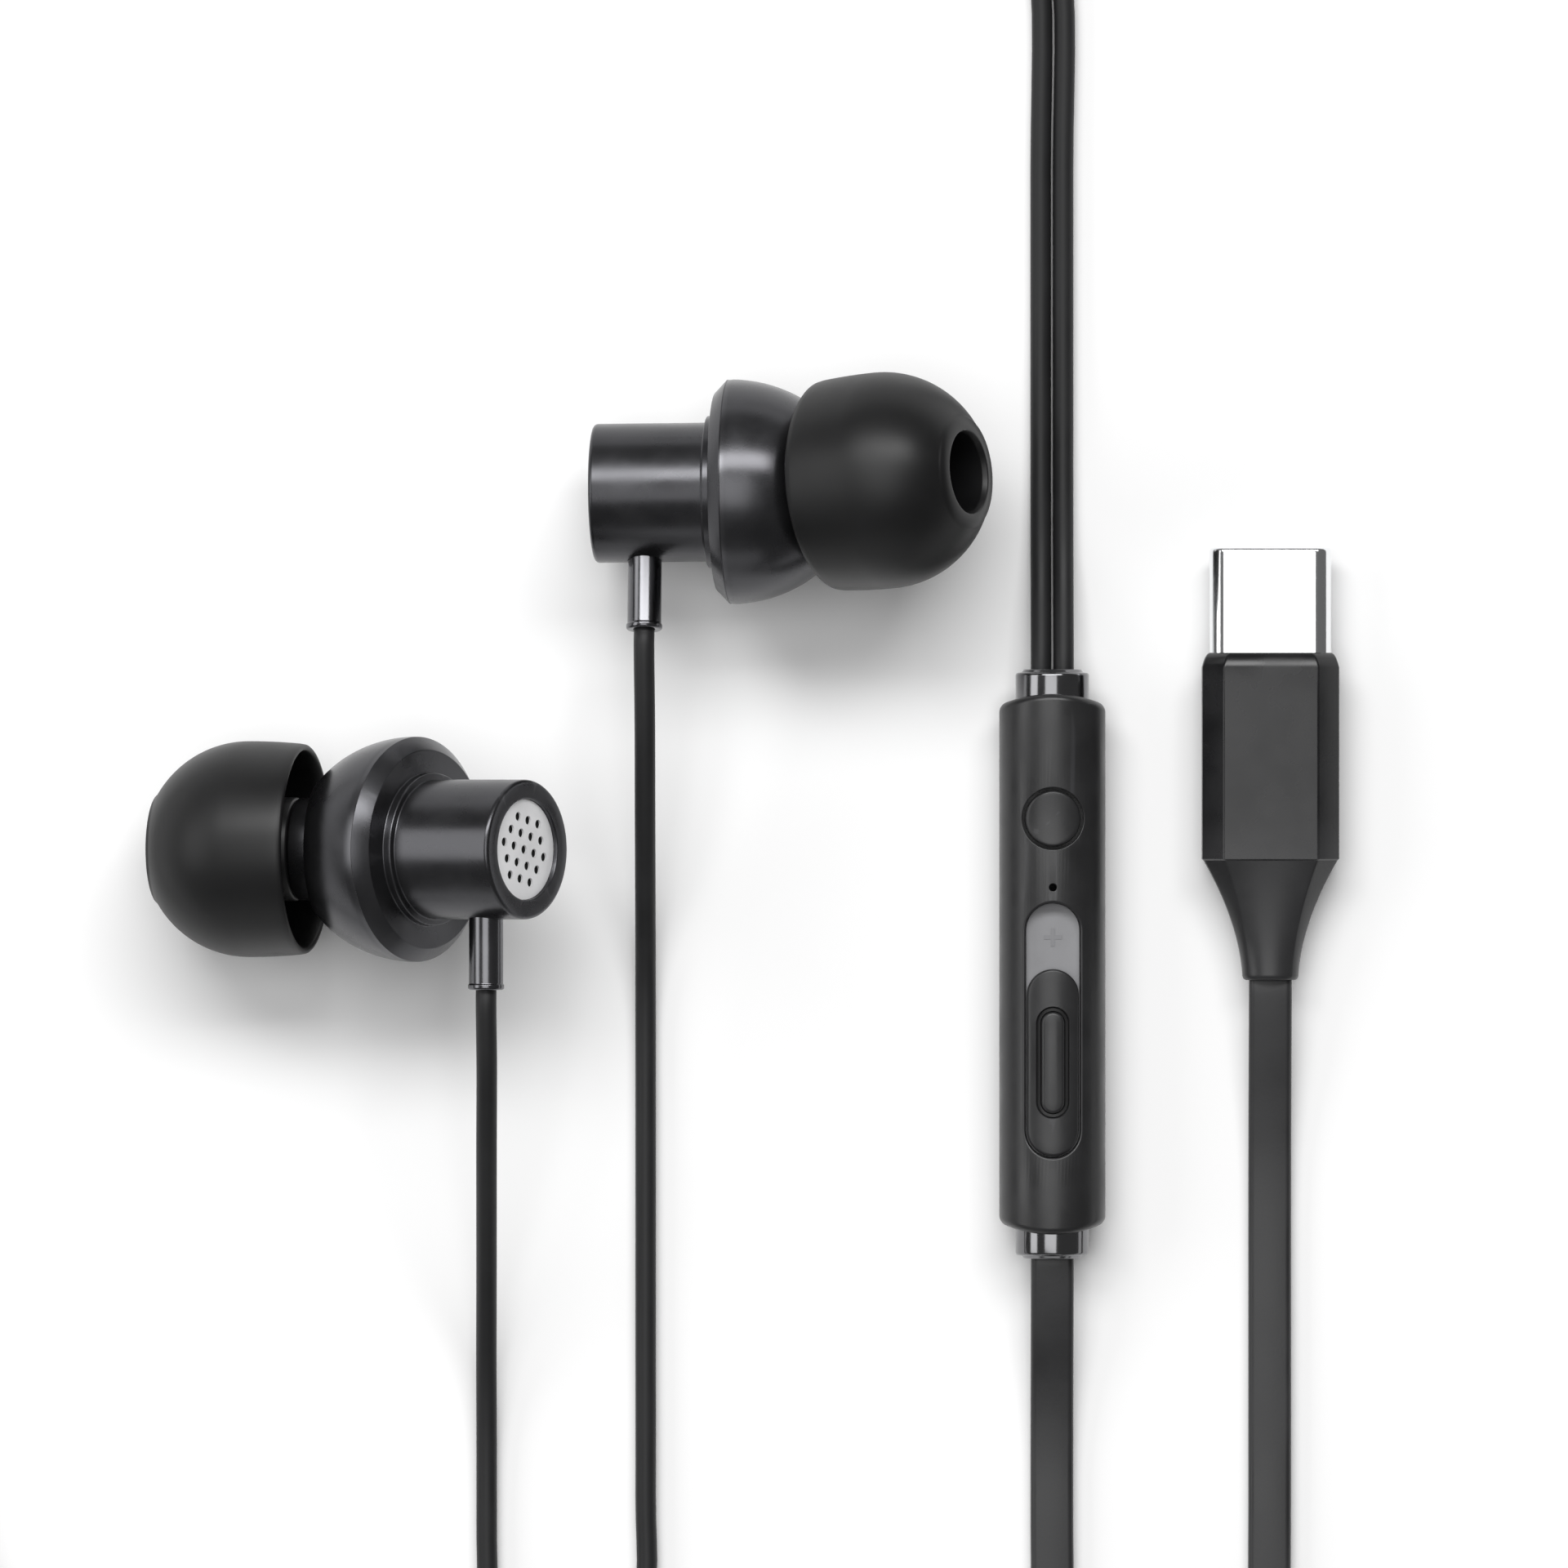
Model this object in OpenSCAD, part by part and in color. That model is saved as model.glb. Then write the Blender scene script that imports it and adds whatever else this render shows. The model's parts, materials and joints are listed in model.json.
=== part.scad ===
// Wired in-ear earphones: two earbuds, an inline remote where their cords join, and a USB-C plug.
// Millimetres, +Z up. The set lies on a surface at Z = 0, with its origin at the middle of the
// remote's flat back.

/* [Earbud housing] */
// Diameter of the rear barrel
barrel_d = 9.4; // [8.6:0.1:11.4]
// Length of the barrel, rear face to flange
barrel_len = 8.3; // [6.8:0.1:10]
// Wall of the barrel and thickness of the flange
barrel_wall = 0.7; // [0.5:0.05:0.85]
// Diameter of the flange, the widest part of the housing
flange_d = 15.2; // [14.4:0.1:18.4]
// Width of the bevel round the back of the flange
flange_bevel = 0.9; // [0.5:0.05:1.2]
// Length of the domed front housing
dome_len = 8.7; // [7.4:0.1:10.4]
// Wall of the domed front housing
dome_wall = 0.8; // [0.6:0.05:1]
// Diameter of the vent opening in the rear face
vent_d = 6.8; // [5.6:0.1:7.2]
// Pitch of the holes in the vent grille
grille_pitch = 1.16; // [0.95:0.01:1.4]
// Diameter of each hole in the vent grille
grille_hole_d = 0.6; // [0.5:0.02:0.72]

/* [Nozzle] */
// Angle between the nozzle and the barrel, in degrees
nozzle_bend = 22; // [0:1:28]
// Distance of the bend in front of the flange
bend_reach = 3; // [2:0.1:3.6]
// Outer diameter of the nozzle tube
nozzle_d = 4.7; // [4.2:0.1:4.9]
// Diameter of the sound bore
nozzle_bore_d = 3.4; // [2.8:0.1:3.8]
// Length of the thick neck between the dome and the ear tip
neck_len = 1.6; // [1.2:0.1:2]
// Distance that the nozzle reaches in front of the dome
nozzle_reach = 5.5; // [4.6:0.1:6.6]

/* [Ear tip] */
// Largest diameter of the silicone dome
tip_d = 14.6; // [12.6:0.1:17.4]
// Length of the silicone dome
tip_len = 10.4; // [8.7:0.1:12.5]
// Diameter of the tip's bore, which slides over the nozzle's barb
tip_bore_d = 5.4; // [5.1:0.1:5.8]
// Outer diameter of the tip's core tube
tip_core_d = 7; // [6.7:0.1:7.6]
// Wall of the dome
tip_wall = 0.65; // [0.5:0.05:0.8]

/* [Stem] */
// Diameter of the metal stem that the cord leaves through
stem_d = 2.3; // [2.1:0.1:2.9]
// Length of the stem below the barrel
stem_reach = 4.75; // [3.8:0.05:5.8]
// Distance of the stem from the rear face
stem_pos = 3.45; // [2.9:0.05:4.1]

/* [Cords] */
// Diameter of the round cord of each earbud
strand_d = 1.4; // [1.2:0.05:1.7]
// Width of the flat main cord
main_w = 2.9; // [2.4:0.1:3.3]
// Thickness of the flat main cord
main_t = 1.3; // [1.1:0.05:1.5]

/* [Remote] */
// Width of the remote
remote_w = 7.2; // [6.8:0.1:8.7]
// Thickness of the remote
remote_t = 6.2; // [6:0.1:7.4]
// Length of the remote's case, end to end
remote_len = 36.6; // [34:0.1:44]
// Wall of the case
remote_wall = 0.8; // [0.65:0.05:0.9]
// Diameter of the round main button
button_d = 3.84; // [3.2:0.02:4]
// Gap round the main button
button_gap = 0.33; // [0.15:0.01:0.36]
// Travel of the main button
button_travel = 0.25; // [0.15:0.05:0.3]
// Width of the volume slider's window
window_w = 3.75; // [3.2:0.05:3.9]
// Length of the volume slider's window
window_len = 17.25; // [16.2:0.05:18.2]
// Travel of the volume slider
slider_travel = 4.35; // [3:0.05:5.2]
// Diameter of the microphone hole
mic_d = 0.6; // [0.5:0.05:0.8]
// Diameter of the collars at the ends of the remote
collar_d = 5; // [4.4:0.1:5.4]
// Length of each collar outside the case
collar_reach = 1.45; // [1:0.05:2]

/* [Plug] */
// Width of the metal plug, a USB-C size
shell_w = 8.25; // [8.19:0.01:8.31]
// Height of the metal plug, a USB-C size
shell_t = 2.4; // [2.36:0.01:2.44]
// Length of the metal plug outside the body
shell_reach = 7.1; // [6.2:0.05:8.4]
// Width of the plug's body
body_w = 9.3; // [9.1:0.1:11.2]
// Thickness of the plug's body
body_t = 5; // [4.4:0.1:6]
// Length of the plug's body
body_len = 14.1; // [12.6:0.1:17]
// Length of the flared boot behind the body
boot_len = 8.1; // [6.8:0.1:9.6]
// Width of the boot where the cord leaves it
boot_end_w = 3.8; // [3.6:0.1:4.6]

/* [Hidden] */

slip = 0.03;        // clearance of pieces that seat in each other
run_gap = 0.12;     // clearance of pieces that slide
round_fn = 96;      // facets of a drawn circle, which stand for a true round
free_fn = 48;       // points of a drawn ellipse
big = 60;           // a cutter larger than any piece
LEFT = -1;
RIGHT = 1;

// Colours of the finishes
black_metal = [0.10, 0.10, 0.11];
black_plastic = [0.14, 0.14, 0.15];
gloss_black = [0.04, 0.04, 0.045];
black_rubber = [0.06, 0.06, 0.065];
steel = [0.86, 0.87, 0.88];
track_grey = [0.50, 0.50, 0.52];
gold = [0.85, 0.66, 0.30];
board_green = [0.05, 0.26, 0.14];
copper = [0.72, 0.38, 0.18];
film = [0.70, 0.66, 0.52];

// Where the earbuds lie: the middle of each rear face, the slope of the barrel, its turn on the
// table, its roll about itself, and the gap between the nozzle's neck and the ear tip
barrel_r = barrel_d / 2;
flange_r = flange_d / 2;
seam_z = barrel_len + flange_bevel;
pivot_z = seam_z + bend_reach;
left_slope = 35;
right_slope = 5.5;
right_turn = 0.6;
right_roll = -11;
left_rear_x = -35.4;
left_rear_y = 7.8;
right_rear_x = -31;
right_rear_y = 31.85;
left_tip_gap = 0.85;
right_tip_gap = 0.05;

// The nozzle's own frame starts at the bend and runs along the nozzle
dome_cut = 4.1 * dome_len / 8.7;
neck_end = dome_cut + neck_len;
nozzle_end = dome_cut + nozzle_reach + 0.4;
barb_r = tip_bore_d / 2 - 0.08;
barb_len = 0.9;
mesh_t = 0.25;

// Outline of the ear tip, from its open rim, which is a little behind the start of its core tube
core_inset = 1.35;
tip_r = tip_d / 2;
tip_belly = 4;
tip_nose = (tip_len - tip_belly) * 1.12;
tip_flare = 0.2;
lip_s = tip_len - 0.3;
lip_angle = asin((lip_s - tip_belly) / tip_nose);
function tip_radius(s) = s < tip_belly
    ? tip_r - tip_flare * pow((tip_belly - s) / tip_belly, 2)
    : tip_r * sqrt(1 - pow((s - tip_belly) / tip_nose, 2));

function rim_z(side) = neck_end - core_inset + (side == LEFT ? left_tip_gap : right_tip_gap);

// Height of each rear face, with the earbud's lowest edge on the table
tip_slope = left_slope - nozzle_bend;
tip_depth = max([for (s = [0:0.25:lip_s]) s * sin(tip_slope) + tip_radius(s) * cos(tip_slope)]);
left_rear_h = max(
    pivot_z * sin(left_slope) + rim_z(LEFT) * sin(tip_slope) + tip_depth,
    seam_z * sin(left_slope) + flange_r * cos(left_slope)
);
right_rear_h = max(flange_r * cos(right_slope) - seam_z * sin(right_slope), barrel_r * cos(right_slope));

// Points of an earbud, from its own frame to the table
function turned(v, a) = [v[0] * cos(a) - v[1] * sin(a), v[0] * sin(a) + v[1] * cos(a), v[2]];
function tipped(v, a) = [v[0] * cos(a) + v[2] * sin(a), v[1], v[2] * cos(a) - v[0] * sin(a)];
function on_table(side, v) = side == LEFT
    ? [left_rear_x, left_rear_y, left_rear_h] + tipped(v, -90 - left_slope)
    : [right_rear_x, right_rear_y, right_rear_h]
        + turned(tipped(turned(v, right_roll), 90 - right_slope), right_turn);

module place_bud(side) {
    if (side == LEFT)
        translate([left_rear_x, left_rear_y, left_rear_h]) rotate([0, -90 - left_slope, 0]) children();
    else
        translate([right_rear_x, right_rear_y, right_rear_h])
            rotate([0, 0, right_turn]) rotate([0, 90 - right_slope, 0]) rotate([0, 0, right_roll]) children();
}

module nozzle_frame(side) {
    translate([0, 0, pivot_z]) rotate([0, -side * nozzle_bend, 0]) children();
}

module pipe(r_out, r_in, z0, z1) {
    translate([0, 0, z0]) difference() {
        cylinder(h = z1 - z0, r = r_out, $fn = round_fn);
        translate([0, 0, -1]) cylinder(h = z1 - z0 + 2, r = r_in, $fn = round_fn);
    }
}

module disc(r, z0, z1) {
    translate([0, 0, z0]) cylinder(h = z1 - z0, r = r, $fn = round_fn);
}

// ---------- Earbud ----------
vent_r = vent_d / 2;
cavity_r = barrel_r - barrel_wall;
ledge_r = vent_r - 0.45;
grille_depth = 0.3;
grille_t = 0.14;
spigot_r = flange_r - dome_wall - slip;
spigot_wall = 0.5;
spigot_len = 1.05;
root_r = barrel_r + 0.6;
root_len = 0.55;
edge = 0.25;

module rear_housing() {
    grille_back = grille_depth + grille_t;
    floor_z = grille_back + 0.8;
    difference() {
        rotate_extrude($fn = round_fn) polygon([
            [vent_r, 0], [barrel_r - edge, 0], [barrel_r, edge],
            [barrel_r, barrel_len - root_len - edge], [root_r, barrel_len - root_len], [root_r, barrel_len],
            [flange_r - flange_bevel, barrel_len], [flange_r, seam_z], [spigot_r, seam_z],
            [spigot_r, seam_z + spigot_len], [spigot_r - spigot_wall, seam_z + spigot_len],
            [spigot_r - spigot_wall, seam_z], [cavity_r, seam_z], [cavity_r, floor_z],
            [ledge_r, floor_z], [ledge_r, grille_back], [vent_r, grille_back]
        ]);
        stem_frame() cylinder(h = big, r = stem_d / 2 + slip, $fn = round_fn);
    }
}

// Hole places of a staggered grille that keep clear of the rim
function grille_holes(reach) = [
    for (i = [-4:4], j = [-4:4])
        let (p = [grille_pitch * (i + j / 2), grille_pitch * j * sqrt(3) / 2])
        if (norm(p) < reach) p
];

module rear_grille() {
    disc_r = vent_r - slip;
    translate([0, 0, grille_depth]) difference() {
        cylinder(h = grille_t, r = disc_r, $fn = round_fn);
        rotate([0, 0, 13]) for (p = grille_holes(disc_r - grille_hole_d / 2 - 0.1))
            translate([p[0], p[1], -1]) cylinder(h = grille_t + 2, r = grille_hole_d / 2, $fn = 24);
    }
}

module rear_damper() {
    disc(ledge_r - slip, grille_depth + grille_t + 0.1, grille_depth + grille_t + 0.7);
}

// A solid half ellipsoid on its flat base
module half_egg(r, len) {
    rotate_extrude($fn = round_fn) polygon(concat(
        [[0, 0]], [for (t = [0:5:85]) [r * cos(t), len * sin(t)]], [[0, len]]
    ));
}

module front_housing(side) {
    bore_r = spigot_r + slip;
    difference() {
        union() {
            difference() {
                translate([0, 0, seam_z]) half_egg(flange_r, dome_len);
                nozzle_frame(side) translate([-big / 2, -big / 2, dome_cut]) cube(big);
            }
            nozzle_frame(side) {
                disc(tip_core_d / 2 - 0.05, dome_cut - 1, neck_end);
                disc(nozzle_d / 2, dome_cut - 1.5, nozzle_end);
                translate([0, 0, nozzle_end - barb_len])
                    cylinder(h = barb_len, r1 = barb_r, r2 = nozzle_d / 2 - 0.05, $fn = round_fn);
            }
        }
        translate([0, 0, seam_z]) half_egg(bore_r - 0.12, dome_len - dome_wall);
        disc(bore_r, seam_z - 1, seam_z + spigot_len + slip);
        nozzle_frame(side) {
            disc(nozzle_bore_d / 2, 0, nozzle_end + 1);
            disc(nozzle_bore_d / 2 + 0.25, nozzle_end - mesh_t - 0.1, nozzle_end + 1);
        }
    }
}

module nozzle_mesh(side) {
    nozzle_frame(side) disc(nozzle_bore_d / 2 + 0.22, nozzle_end - mesh_t - 0.08, nozzle_end - 0.08);
}

// Moving-coil driver, on the seam between the housings
function inner_dome_r(h) = (spigot_r + slip - 0.12) * sqrt(1 - pow(h / (dome_len - dome_wall), 2));
basket_base = seam_z + slip;
basket_h = 3.1;
basket_r = inner_dome_r(basket_h + 0.4) - 0.1;
yoke_r = cavity_r - 0.3;
yoke_wall = 0.6;
yoke_z = seam_z - 1.25;
yoke_h = 3;
magnet_r = yoke_r - 1.2;
magnet_h = 1.6;
plate_r = magnet_r + 0.1;
plate_h = 0.7;
film_t = 0.14;

module driver_basket() {
    rotate_extrude($fn = round_fn) polygon([
        [yoke_r + slip, basket_base], [basket_r, basket_base], [basket_r, basket_base + basket_h],
        [basket_r - 0.6, basket_base + basket_h], [basket_r - 0.6, basket_base + 0.6],
        [yoke_r + slip, basket_base + 0.6]
    ]);
}

module driver_yoke() {
    difference() {
        disc(yoke_r, yoke_z, yoke_z + yoke_h);
        disc(yoke_r - yoke_wall, yoke_z + yoke_wall, yoke_z + yoke_h + 1);
    }
}

module driver_magnet() {
    disc(magnet_r, yoke_z + yoke_wall, yoke_z + yoke_wall + magnet_h);
}

module pole_plate() {
    disc(plate_r, yoke_z + yoke_wall + magnet_h, yoke_z + yoke_wall + magnet_h + plate_h);
}

module voice_coil() {
    top = basket_base + basket_h - 0.12;
    pipe(plate_r + 0.38, plate_r + 0.12, top - 2.4, top);
}

module diaphragm() {
    z = basket_base + basket_h;
    crown = [
        [0, 0.85], [0.46 * plate_r, 0.7], [0.85 * plate_r, 0.3], [plate_r + 0.25, 0.02],
        [(plate_r + basket_r) / 2 - 0.35, 0.45], [basket_r - 0.9, 0.3]
    ];
    upper = concat(crown, [[basket_r - 0.5, 0.02], [basket_r, 0.02]]);
    rotate_extrude($fn = round_fn) translate([0, z]) polygon(concat(
        [for (p = upper) p + [0, film_t]], [for (i = [len(upper) - 1:-1:0]) upper[i]]
    ));
}

module terminal_board() {
    translate([-1.6, -1, yoke_z - 0.5]) cube([3.2, 2, 0.45]);
}

stem_end = barrel_r + stem_reach;

// Local frame of the stem: +Z runs down the stem, away from the barrel
module stem_frame() {
    translate([0, 0, stem_pos]) rotate([90, 0, 0]) children();
}

module stem() {
    bore_r = strand_d / 2 + slip;
    flange_h = cavity_r - 0.3;
    stem_frame() rotate_extrude($fn = round_fn) polygon([
        [bore_r, flange_h - 0.4], [stem_d / 2 + 0.35, flange_h - 0.4], [stem_d / 2 + 0.35, flange_h - 0.1],
        [stem_d / 2, flange_h - 0.1], [stem_d / 2, stem_end - 0.35], [stem_d / 2 + 0.06, stem_end - 0.25],
        [stem_d / 2 + 0.06, stem_end - 0.06], [stem_d / 2, stem_end], [bore_r, stem_end]
    ]);
}

module cord_crimp() {
    stem_frame() pipe(strand_d / 2 + 0.4, strand_d / 2 + slip, cavity_r - 2.1, cavity_r - 0.9);
}

module ear_tip(side) {
    bore_r = tip_bore_d / 2;
    core_r = tip_core_d / 2;
    inner_nose = tip_nose - 1.15;
    inner_r = tip_r - tip_wall;
    join_angle = acos(core_r / inner_r);
    outside = concat(
        [for (i = [0:3]) let (s = tip_belly * i / 4) [tip_radius(s), s]],
        [for (i = [0:16]) let (t = lip_angle * i / 16) [tip_r * cos(t), tip_belly + tip_nose * sin(t)]]
    );
    lip = [
        [bore_r + 0.75, tip_len - 0.06], [bore_r + 0.35, tip_len],
        [bore_r + 0.1, tip_len - 0.1], [bore_r, tip_len - 0.35]
    ];
    core = [[bore_r, core_inset], [core_r, core_inset]];
    inside = [
        for (i = [12:-1:0]) let (t = join_angle * i / 12) [inner_r * cos(t), tip_belly + inner_nose * sin(t)]
    ];
    nozzle_frame(side) translate([0, 0, rim_z(side)]) rotate_extrude($fn = round_fn)
        polygon(concat(outside, lip, core, inside, [[tip_radius(0) - tip_wall * 0.7, 0]]));
}

// ---------- Remote ----------
flat_cut = 0.25;                           // how much of the oval the flat back takes off
oval_a = remote_w / 2;
oval_b = (remote_t + flat_cut) / 2;
oval_z = remote_t - oval_b;                // height of the seam
end_rise = 0.75;                           // how far each end bows out
half_len = remote_len / 2;
end_wall = 1.5;
button_y = half_len - 8.44;
mic_y = button_y - 4.66;
window_y = mic_y - 1.06 - window_len / 2;
board_z = oval_z - 1.375;
board_t = 0.6;
board_top = board_z + board_t;
track_top = remote_t - 1.2;
track_base = track_top - 1.3;

// A round-ended slot in plan, as long and as wide as given
module slot_2d(w, len) {
    square([w, len - w], center = true);
    for (s = [-1, 1]) translate([0, s * (len - w) / 2]) circle(d = w, $fn = round_fn);
}

module slot(w, len, z0, z1) {
    translate([0, 0, z0]) linear_extrude(height = z1 - z0) slot_2d(w, len);
}

// The remote's oval section, grown or shrunk, as a bar along Y
module oval_bar(grow, len) {
    a = oval_a + grow;
    b = oval_b + grow;
    translate([0, len / 2, oval_z]) rotate([90, 0, 0]) linear_extrude(height = len)
        polygon([for (i = [0:free_fn - 1]) let (t = 360 * i / free_fn) [a * cos(t), b * sin(t)]]);
}

// The remote's outline from above: straight sides and bowed ends
module plan_outline() {
    bow_r = (oval_a * oval_a + end_rise * end_rise) / (2 * end_rise);
    reach = asin(oval_a / bow_r);
    arc = [for (i = [-6:6]) let (t = reach * i / 6) [bow_r * sin(t), half_len - bow_r + bow_r * cos(t)]];
    polygon(concat(arc, [for (p = arc) [-p[0], -p[1]]]));
}

module remote_body() {
    intersection() {
        oval_bar(0, remote_len + 2);
        linear_extrude(height = remote_t + 1) plan_outline();
    }
}

// The end holes: a neck through each end wall and a seat for the collar
module collar_holes() {
    for (s = [-1, 1]) translate([0, s * half_len, oval_z]) rotate([-90 * s, 0, 0]) {
        disc(collar_d / 2 - 0.38, -end_wall - 1, 1);
        disc(collar_d / 2 + 0.02, -0.5, 2);
    }
}

module remote_front_shell() {
    difference() {
        remote_body();
        translate([-big / 2, -big / 2, oval_z - big]) cube(big);
        oval_bar(-remote_wall, remote_len - 2 * end_wall);
        collar_holes();
        translate([0, button_y, 0]) disc(button_d / 2 + button_gap, 0, remote_t + 1);
        translate([0, mic_y, 0]) disc(mic_d / 2, 0, remote_t + 1);
        translate([0, window_y, 0]) slot(window_w, window_len, 0, remote_t + 1);
    }
}

module remote_back_shell() {
    rib_wall = 0.35;
    rib_h = 0.2;
    rib_len = remote_len - 2 * end_wall - 2;
    difference() {
        union() {
            difference() {
                remote_body();
                translate([-big / 2, -big / 2, oval_z]) cube(big);
            }
            intersection() {
                oval_bar(-remote_wall - slip, rib_len);
                translate([-big / 2, -big / 2, oval_z - 0.5]) cube([big, big, rib_h + 0.5]);
            }
        }
        difference() {
            oval_bar(-remote_wall - slip - rib_wall, remote_len - 2 * end_wall);
            translate([-big / 2, -big / 2, oval_z - big - 0.5]) cube(big);
        }
        difference() {
            oval_bar(-remote_wall, remote_len - 2 * end_wall);
            translate([-big / 2, -big / 2, oval_z - 0.5]) cube(big);
        }
        collar_holes();
    }
}

button_flange_z = oval_z + 0.55;

module main_button() {
    translate([0, button_y, 0]) disc(button_d / 2 + 0.5, button_flange_z, button_flange_z + 0.45);
    intersection() {
        oval_bar(0, remote_len);
        translate([0, button_y, 0]) disc(button_d / 2, button_flange_z + 0.4, remote_t + 1);
    }
}

module button_switch() {
    top = button_flange_z - button_travel - 0.05;
    translate([0, button_y, 0]) {
        translate([-1.5, -1.5, board_top]) cube([3, 3, top - board_top - 0.15]);
        disc(0.6, top - 0.2, top);
    }
}

// The knob rests at the lower end of its window
knob_w = window_w - 2 * run_gap;
knob_len = window_len - slider_travel - 2 * run_gap;
knob_y = window_y - slider_travel / 2;
pill_w = 1.34;
pill_len = knob_len - 6;
groove_w = 0.45;
post_w = 0.8;
post_len = 2;

module volume_knob() {
    translate([0, knob_y, 0]) difference() {
        intersection() {
            oval_bar(0, remote_len);
            slot(knob_w, knob_len, track_top + 0.06, remote_t + 1);
        }
        difference() {
            slot(pill_w + 2 * groove_w, pill_len + 2 * groove_w, remote_t - 0.4, remote_t + 1);
            slot(pill_w, pill_len, remote_t - 1, remote_t + 2);
        }
    }
    translate([0, knob_y, 0]) {
        slot(pill_w, pill_len, remote_t - 0.6, remote_t + 0.18);
        translate([-post_w / 2, -post_len / 2, track_base - 0.2])
            cube([post_w, post_len, track_top - track_base + 0.4]);
    }
}

module knob_wiper() {
    base = track_base - 0.2;
    foot = board_top + 0.3;
    translate([0, knob_y, 0]) {
        translate([-1.6, -1.3, base - 0.5]) cube([3.2, 2.6, 0.5]);
        for (s = [-1, 1]) translate([s * 0.9 - 0.25, -0.9, foot]) cube([0.5, 1.8, base - 0.4 - foot]);
    }
}

module slider_track() {
    difference() {
        translate([0, window_y, 0]) {
            slot(window_w - 2 * slip - 0.1, window_len - 2 * slip, track_base, track_top);
            slot(window_w + 0.7, window_len, track_base, track_base + 0.4);
        }
        translate([0, window_y, 0])
            slot(post_w + 2 * run_gap, post_len + slider_travel + post_w, track_base - 1, track_top + 1);
    }
}

module slide_resistor() {
    translate([-1.5, window_y - 5, board_top]) cube([3, 10, 0.25]);
}

module remote_board() {
    depth = (oval_z - board_z) / (oval_b - remote_wall);
    board_w = 2 * (oval_a - remote_wall) * sqrt(1 - depth * depth) - 0.15;
    board_len = remote_len - 2 * end_wall - 3.2;
    translate([-board_w / 2, -board_len / 2, board_z]) cube([board_w, board_len, board_t]);
}

module microphone() {
    translate([-1.2, mic_y - 0.75, board_top]) cube([2.4, 1.8, 0.9]);
}

module mic_gasket() {
    translate([0, mic_y, 0]) pipe(0.7, mic_d / 2 + slip, board_top + 0.9, remote_t - remote_wall - 0.2);
}

// A collar with its neck in the end wall and a lip behind it; the child is the hole for the cord
module collar(end) {
    seat = half_len - 0.5;
    difference() {
        translate([0, 0, oval_z]) rotate([-90 * end, 0, 0]) rotate_extrude($fn = round_fn) polygon([
            [0, half_len - end_wall - 0.5], [collar_d / 2 - 0.2, half_len - end_wall - 0.5],
            [collar_d / 2 - 0.2, half_len - end_wall - 0.04],
            [collar_d / 2 - 0.4, half_len - end_wall - 0.04],
            [collar_d / 2 - 0.4, seat + 0.02], [collar_d / 2, seat + 0.02],
            [collar_d / 2, half_len + collar_reach - 0.15], [collar_d / 2 - 0.15, half_len + collar_reach],
            [0, half_len + collar_reach]
        ]);
        children();
    }
}

// A hole along Y for a cord as wide and as thick as given
module cord_slot(w, t) {
    translate([0, remote_len, oval_z]) rotate([90, 0, 0]) linear_extrude(height = 2 * remote_len)
        rotate([0, 0, 90]) slot_2d(t + 2 * slip, w + 2 * slip);
}

// ---------- Plug ----------
plug_x = 14.8;
plug_z = body_t / 2;
body_front = 21.1;
body_back = body_front - body_len;
boot_end = body_back - boot_len;
shell_wall = 0.3;
shell_inset = 4;
body_bevel = 1.45;
body_wall = 0.65;

module plug_frame() {
    translate([plug_x, 0, plug_z]) children();
}

// A bar along Y with round sides, from y0 to y1
module round_bar(w, t, y0, y1) {
    translate([0, y1, 0]) rotate([90, 0, 0]) linear_extrude(height = y1 - y0)
        rotate([0, 0, 90]) slot_2d(t, w);
}

module plug_shell() {
    shell_back = body_front - shell_inset;
    shell_front = body_front + shell_reach;
    plug_frame() difference() {
        round_bar(shell_w, shell_t, shell_back, shell_front);
        round_bar(shell_w - 2 * shell_wall, shell_t - 2 * shell_wall, shell_back - 1, shell_front + 1);
    }
}

mouth_t = 1.24;
mouth_w = 6.7;
contact_t = 0.15;

module plug_tongue() {
    depth = shell_reach - 0.9;
    room = 2 * (shell_wall + slip);
    plug_frame() difference() {
        round_bar(shell_w - room, shell_t - room, body_front - shell_inset, body_front + depth);
        translate([-mouth_w / 2, body_front + depth - 5, -mouth_t / 2]) cube([mouth_w, 6, mouth_t]);
    }
}

// Two rows of twelve contacts at half a millimetre
module plug_contacts() {
    pitch = 0.5;
    width = 0.25;
    tip = body_front + shell_reach - 1.6;
    plug_frame() for (i = [-5.5:5.5], s = [0, 1])
        translate([i * pitch - width / 2, tip - 4.2, s == 0 ? -mouth_t / 2 : mouth_t / 2 - contact_t])
            cube([width, 4.2, contact_t]);
}

function bevelled(w, t, c) = [
    [w / 2, t / 2 - c], [w / 2 - c, t / 2], [c - w / 2, t / 2], [-w / 2, t / 2 - c],
    [-w / 2, c - t / 2], [c - w / 2, -t / 2], [w / 2 - c, -t / 2], [w / 2, c - t / 2]
];

module plug_body() {
    nose = 0.3;
    nose_len = 0.9;
    plug_frame() difference() {
        intersection() {
            translate([0, body_front, 0]) rotate([90, 0, 0]) linear_extrude(height = body_len)
                polygon(bevelled(body_w, body_t, body_bevel));
            translate([0, 0, -body_t]) linear_extrude(height = 2 * body_t) polygon([
                [-body_w / 2, body_back], [body_w / 2, body_back], [body_w / 2, body_front - nose_len],
                [body_w / 2 - nose, body_front], [nose - body_w / 2, body_front],
                [-body_w / 2, body_front - nose_len]
            ]);
        }
        round_bar(shell_w + 2 * slip, shell_t + 2 * slip, body_front - shell_inset - slip, body_front + 1);
        translate([0, body_front - shell_inset, 0]) rotate([90, 0, 0]) linear_extrude(height = body_len)
            polygon(bevelled(body_w - 2 * body_wall, body_t - 2 * body_wall, body_bevel - body_wall / 2));
    }
}

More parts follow.
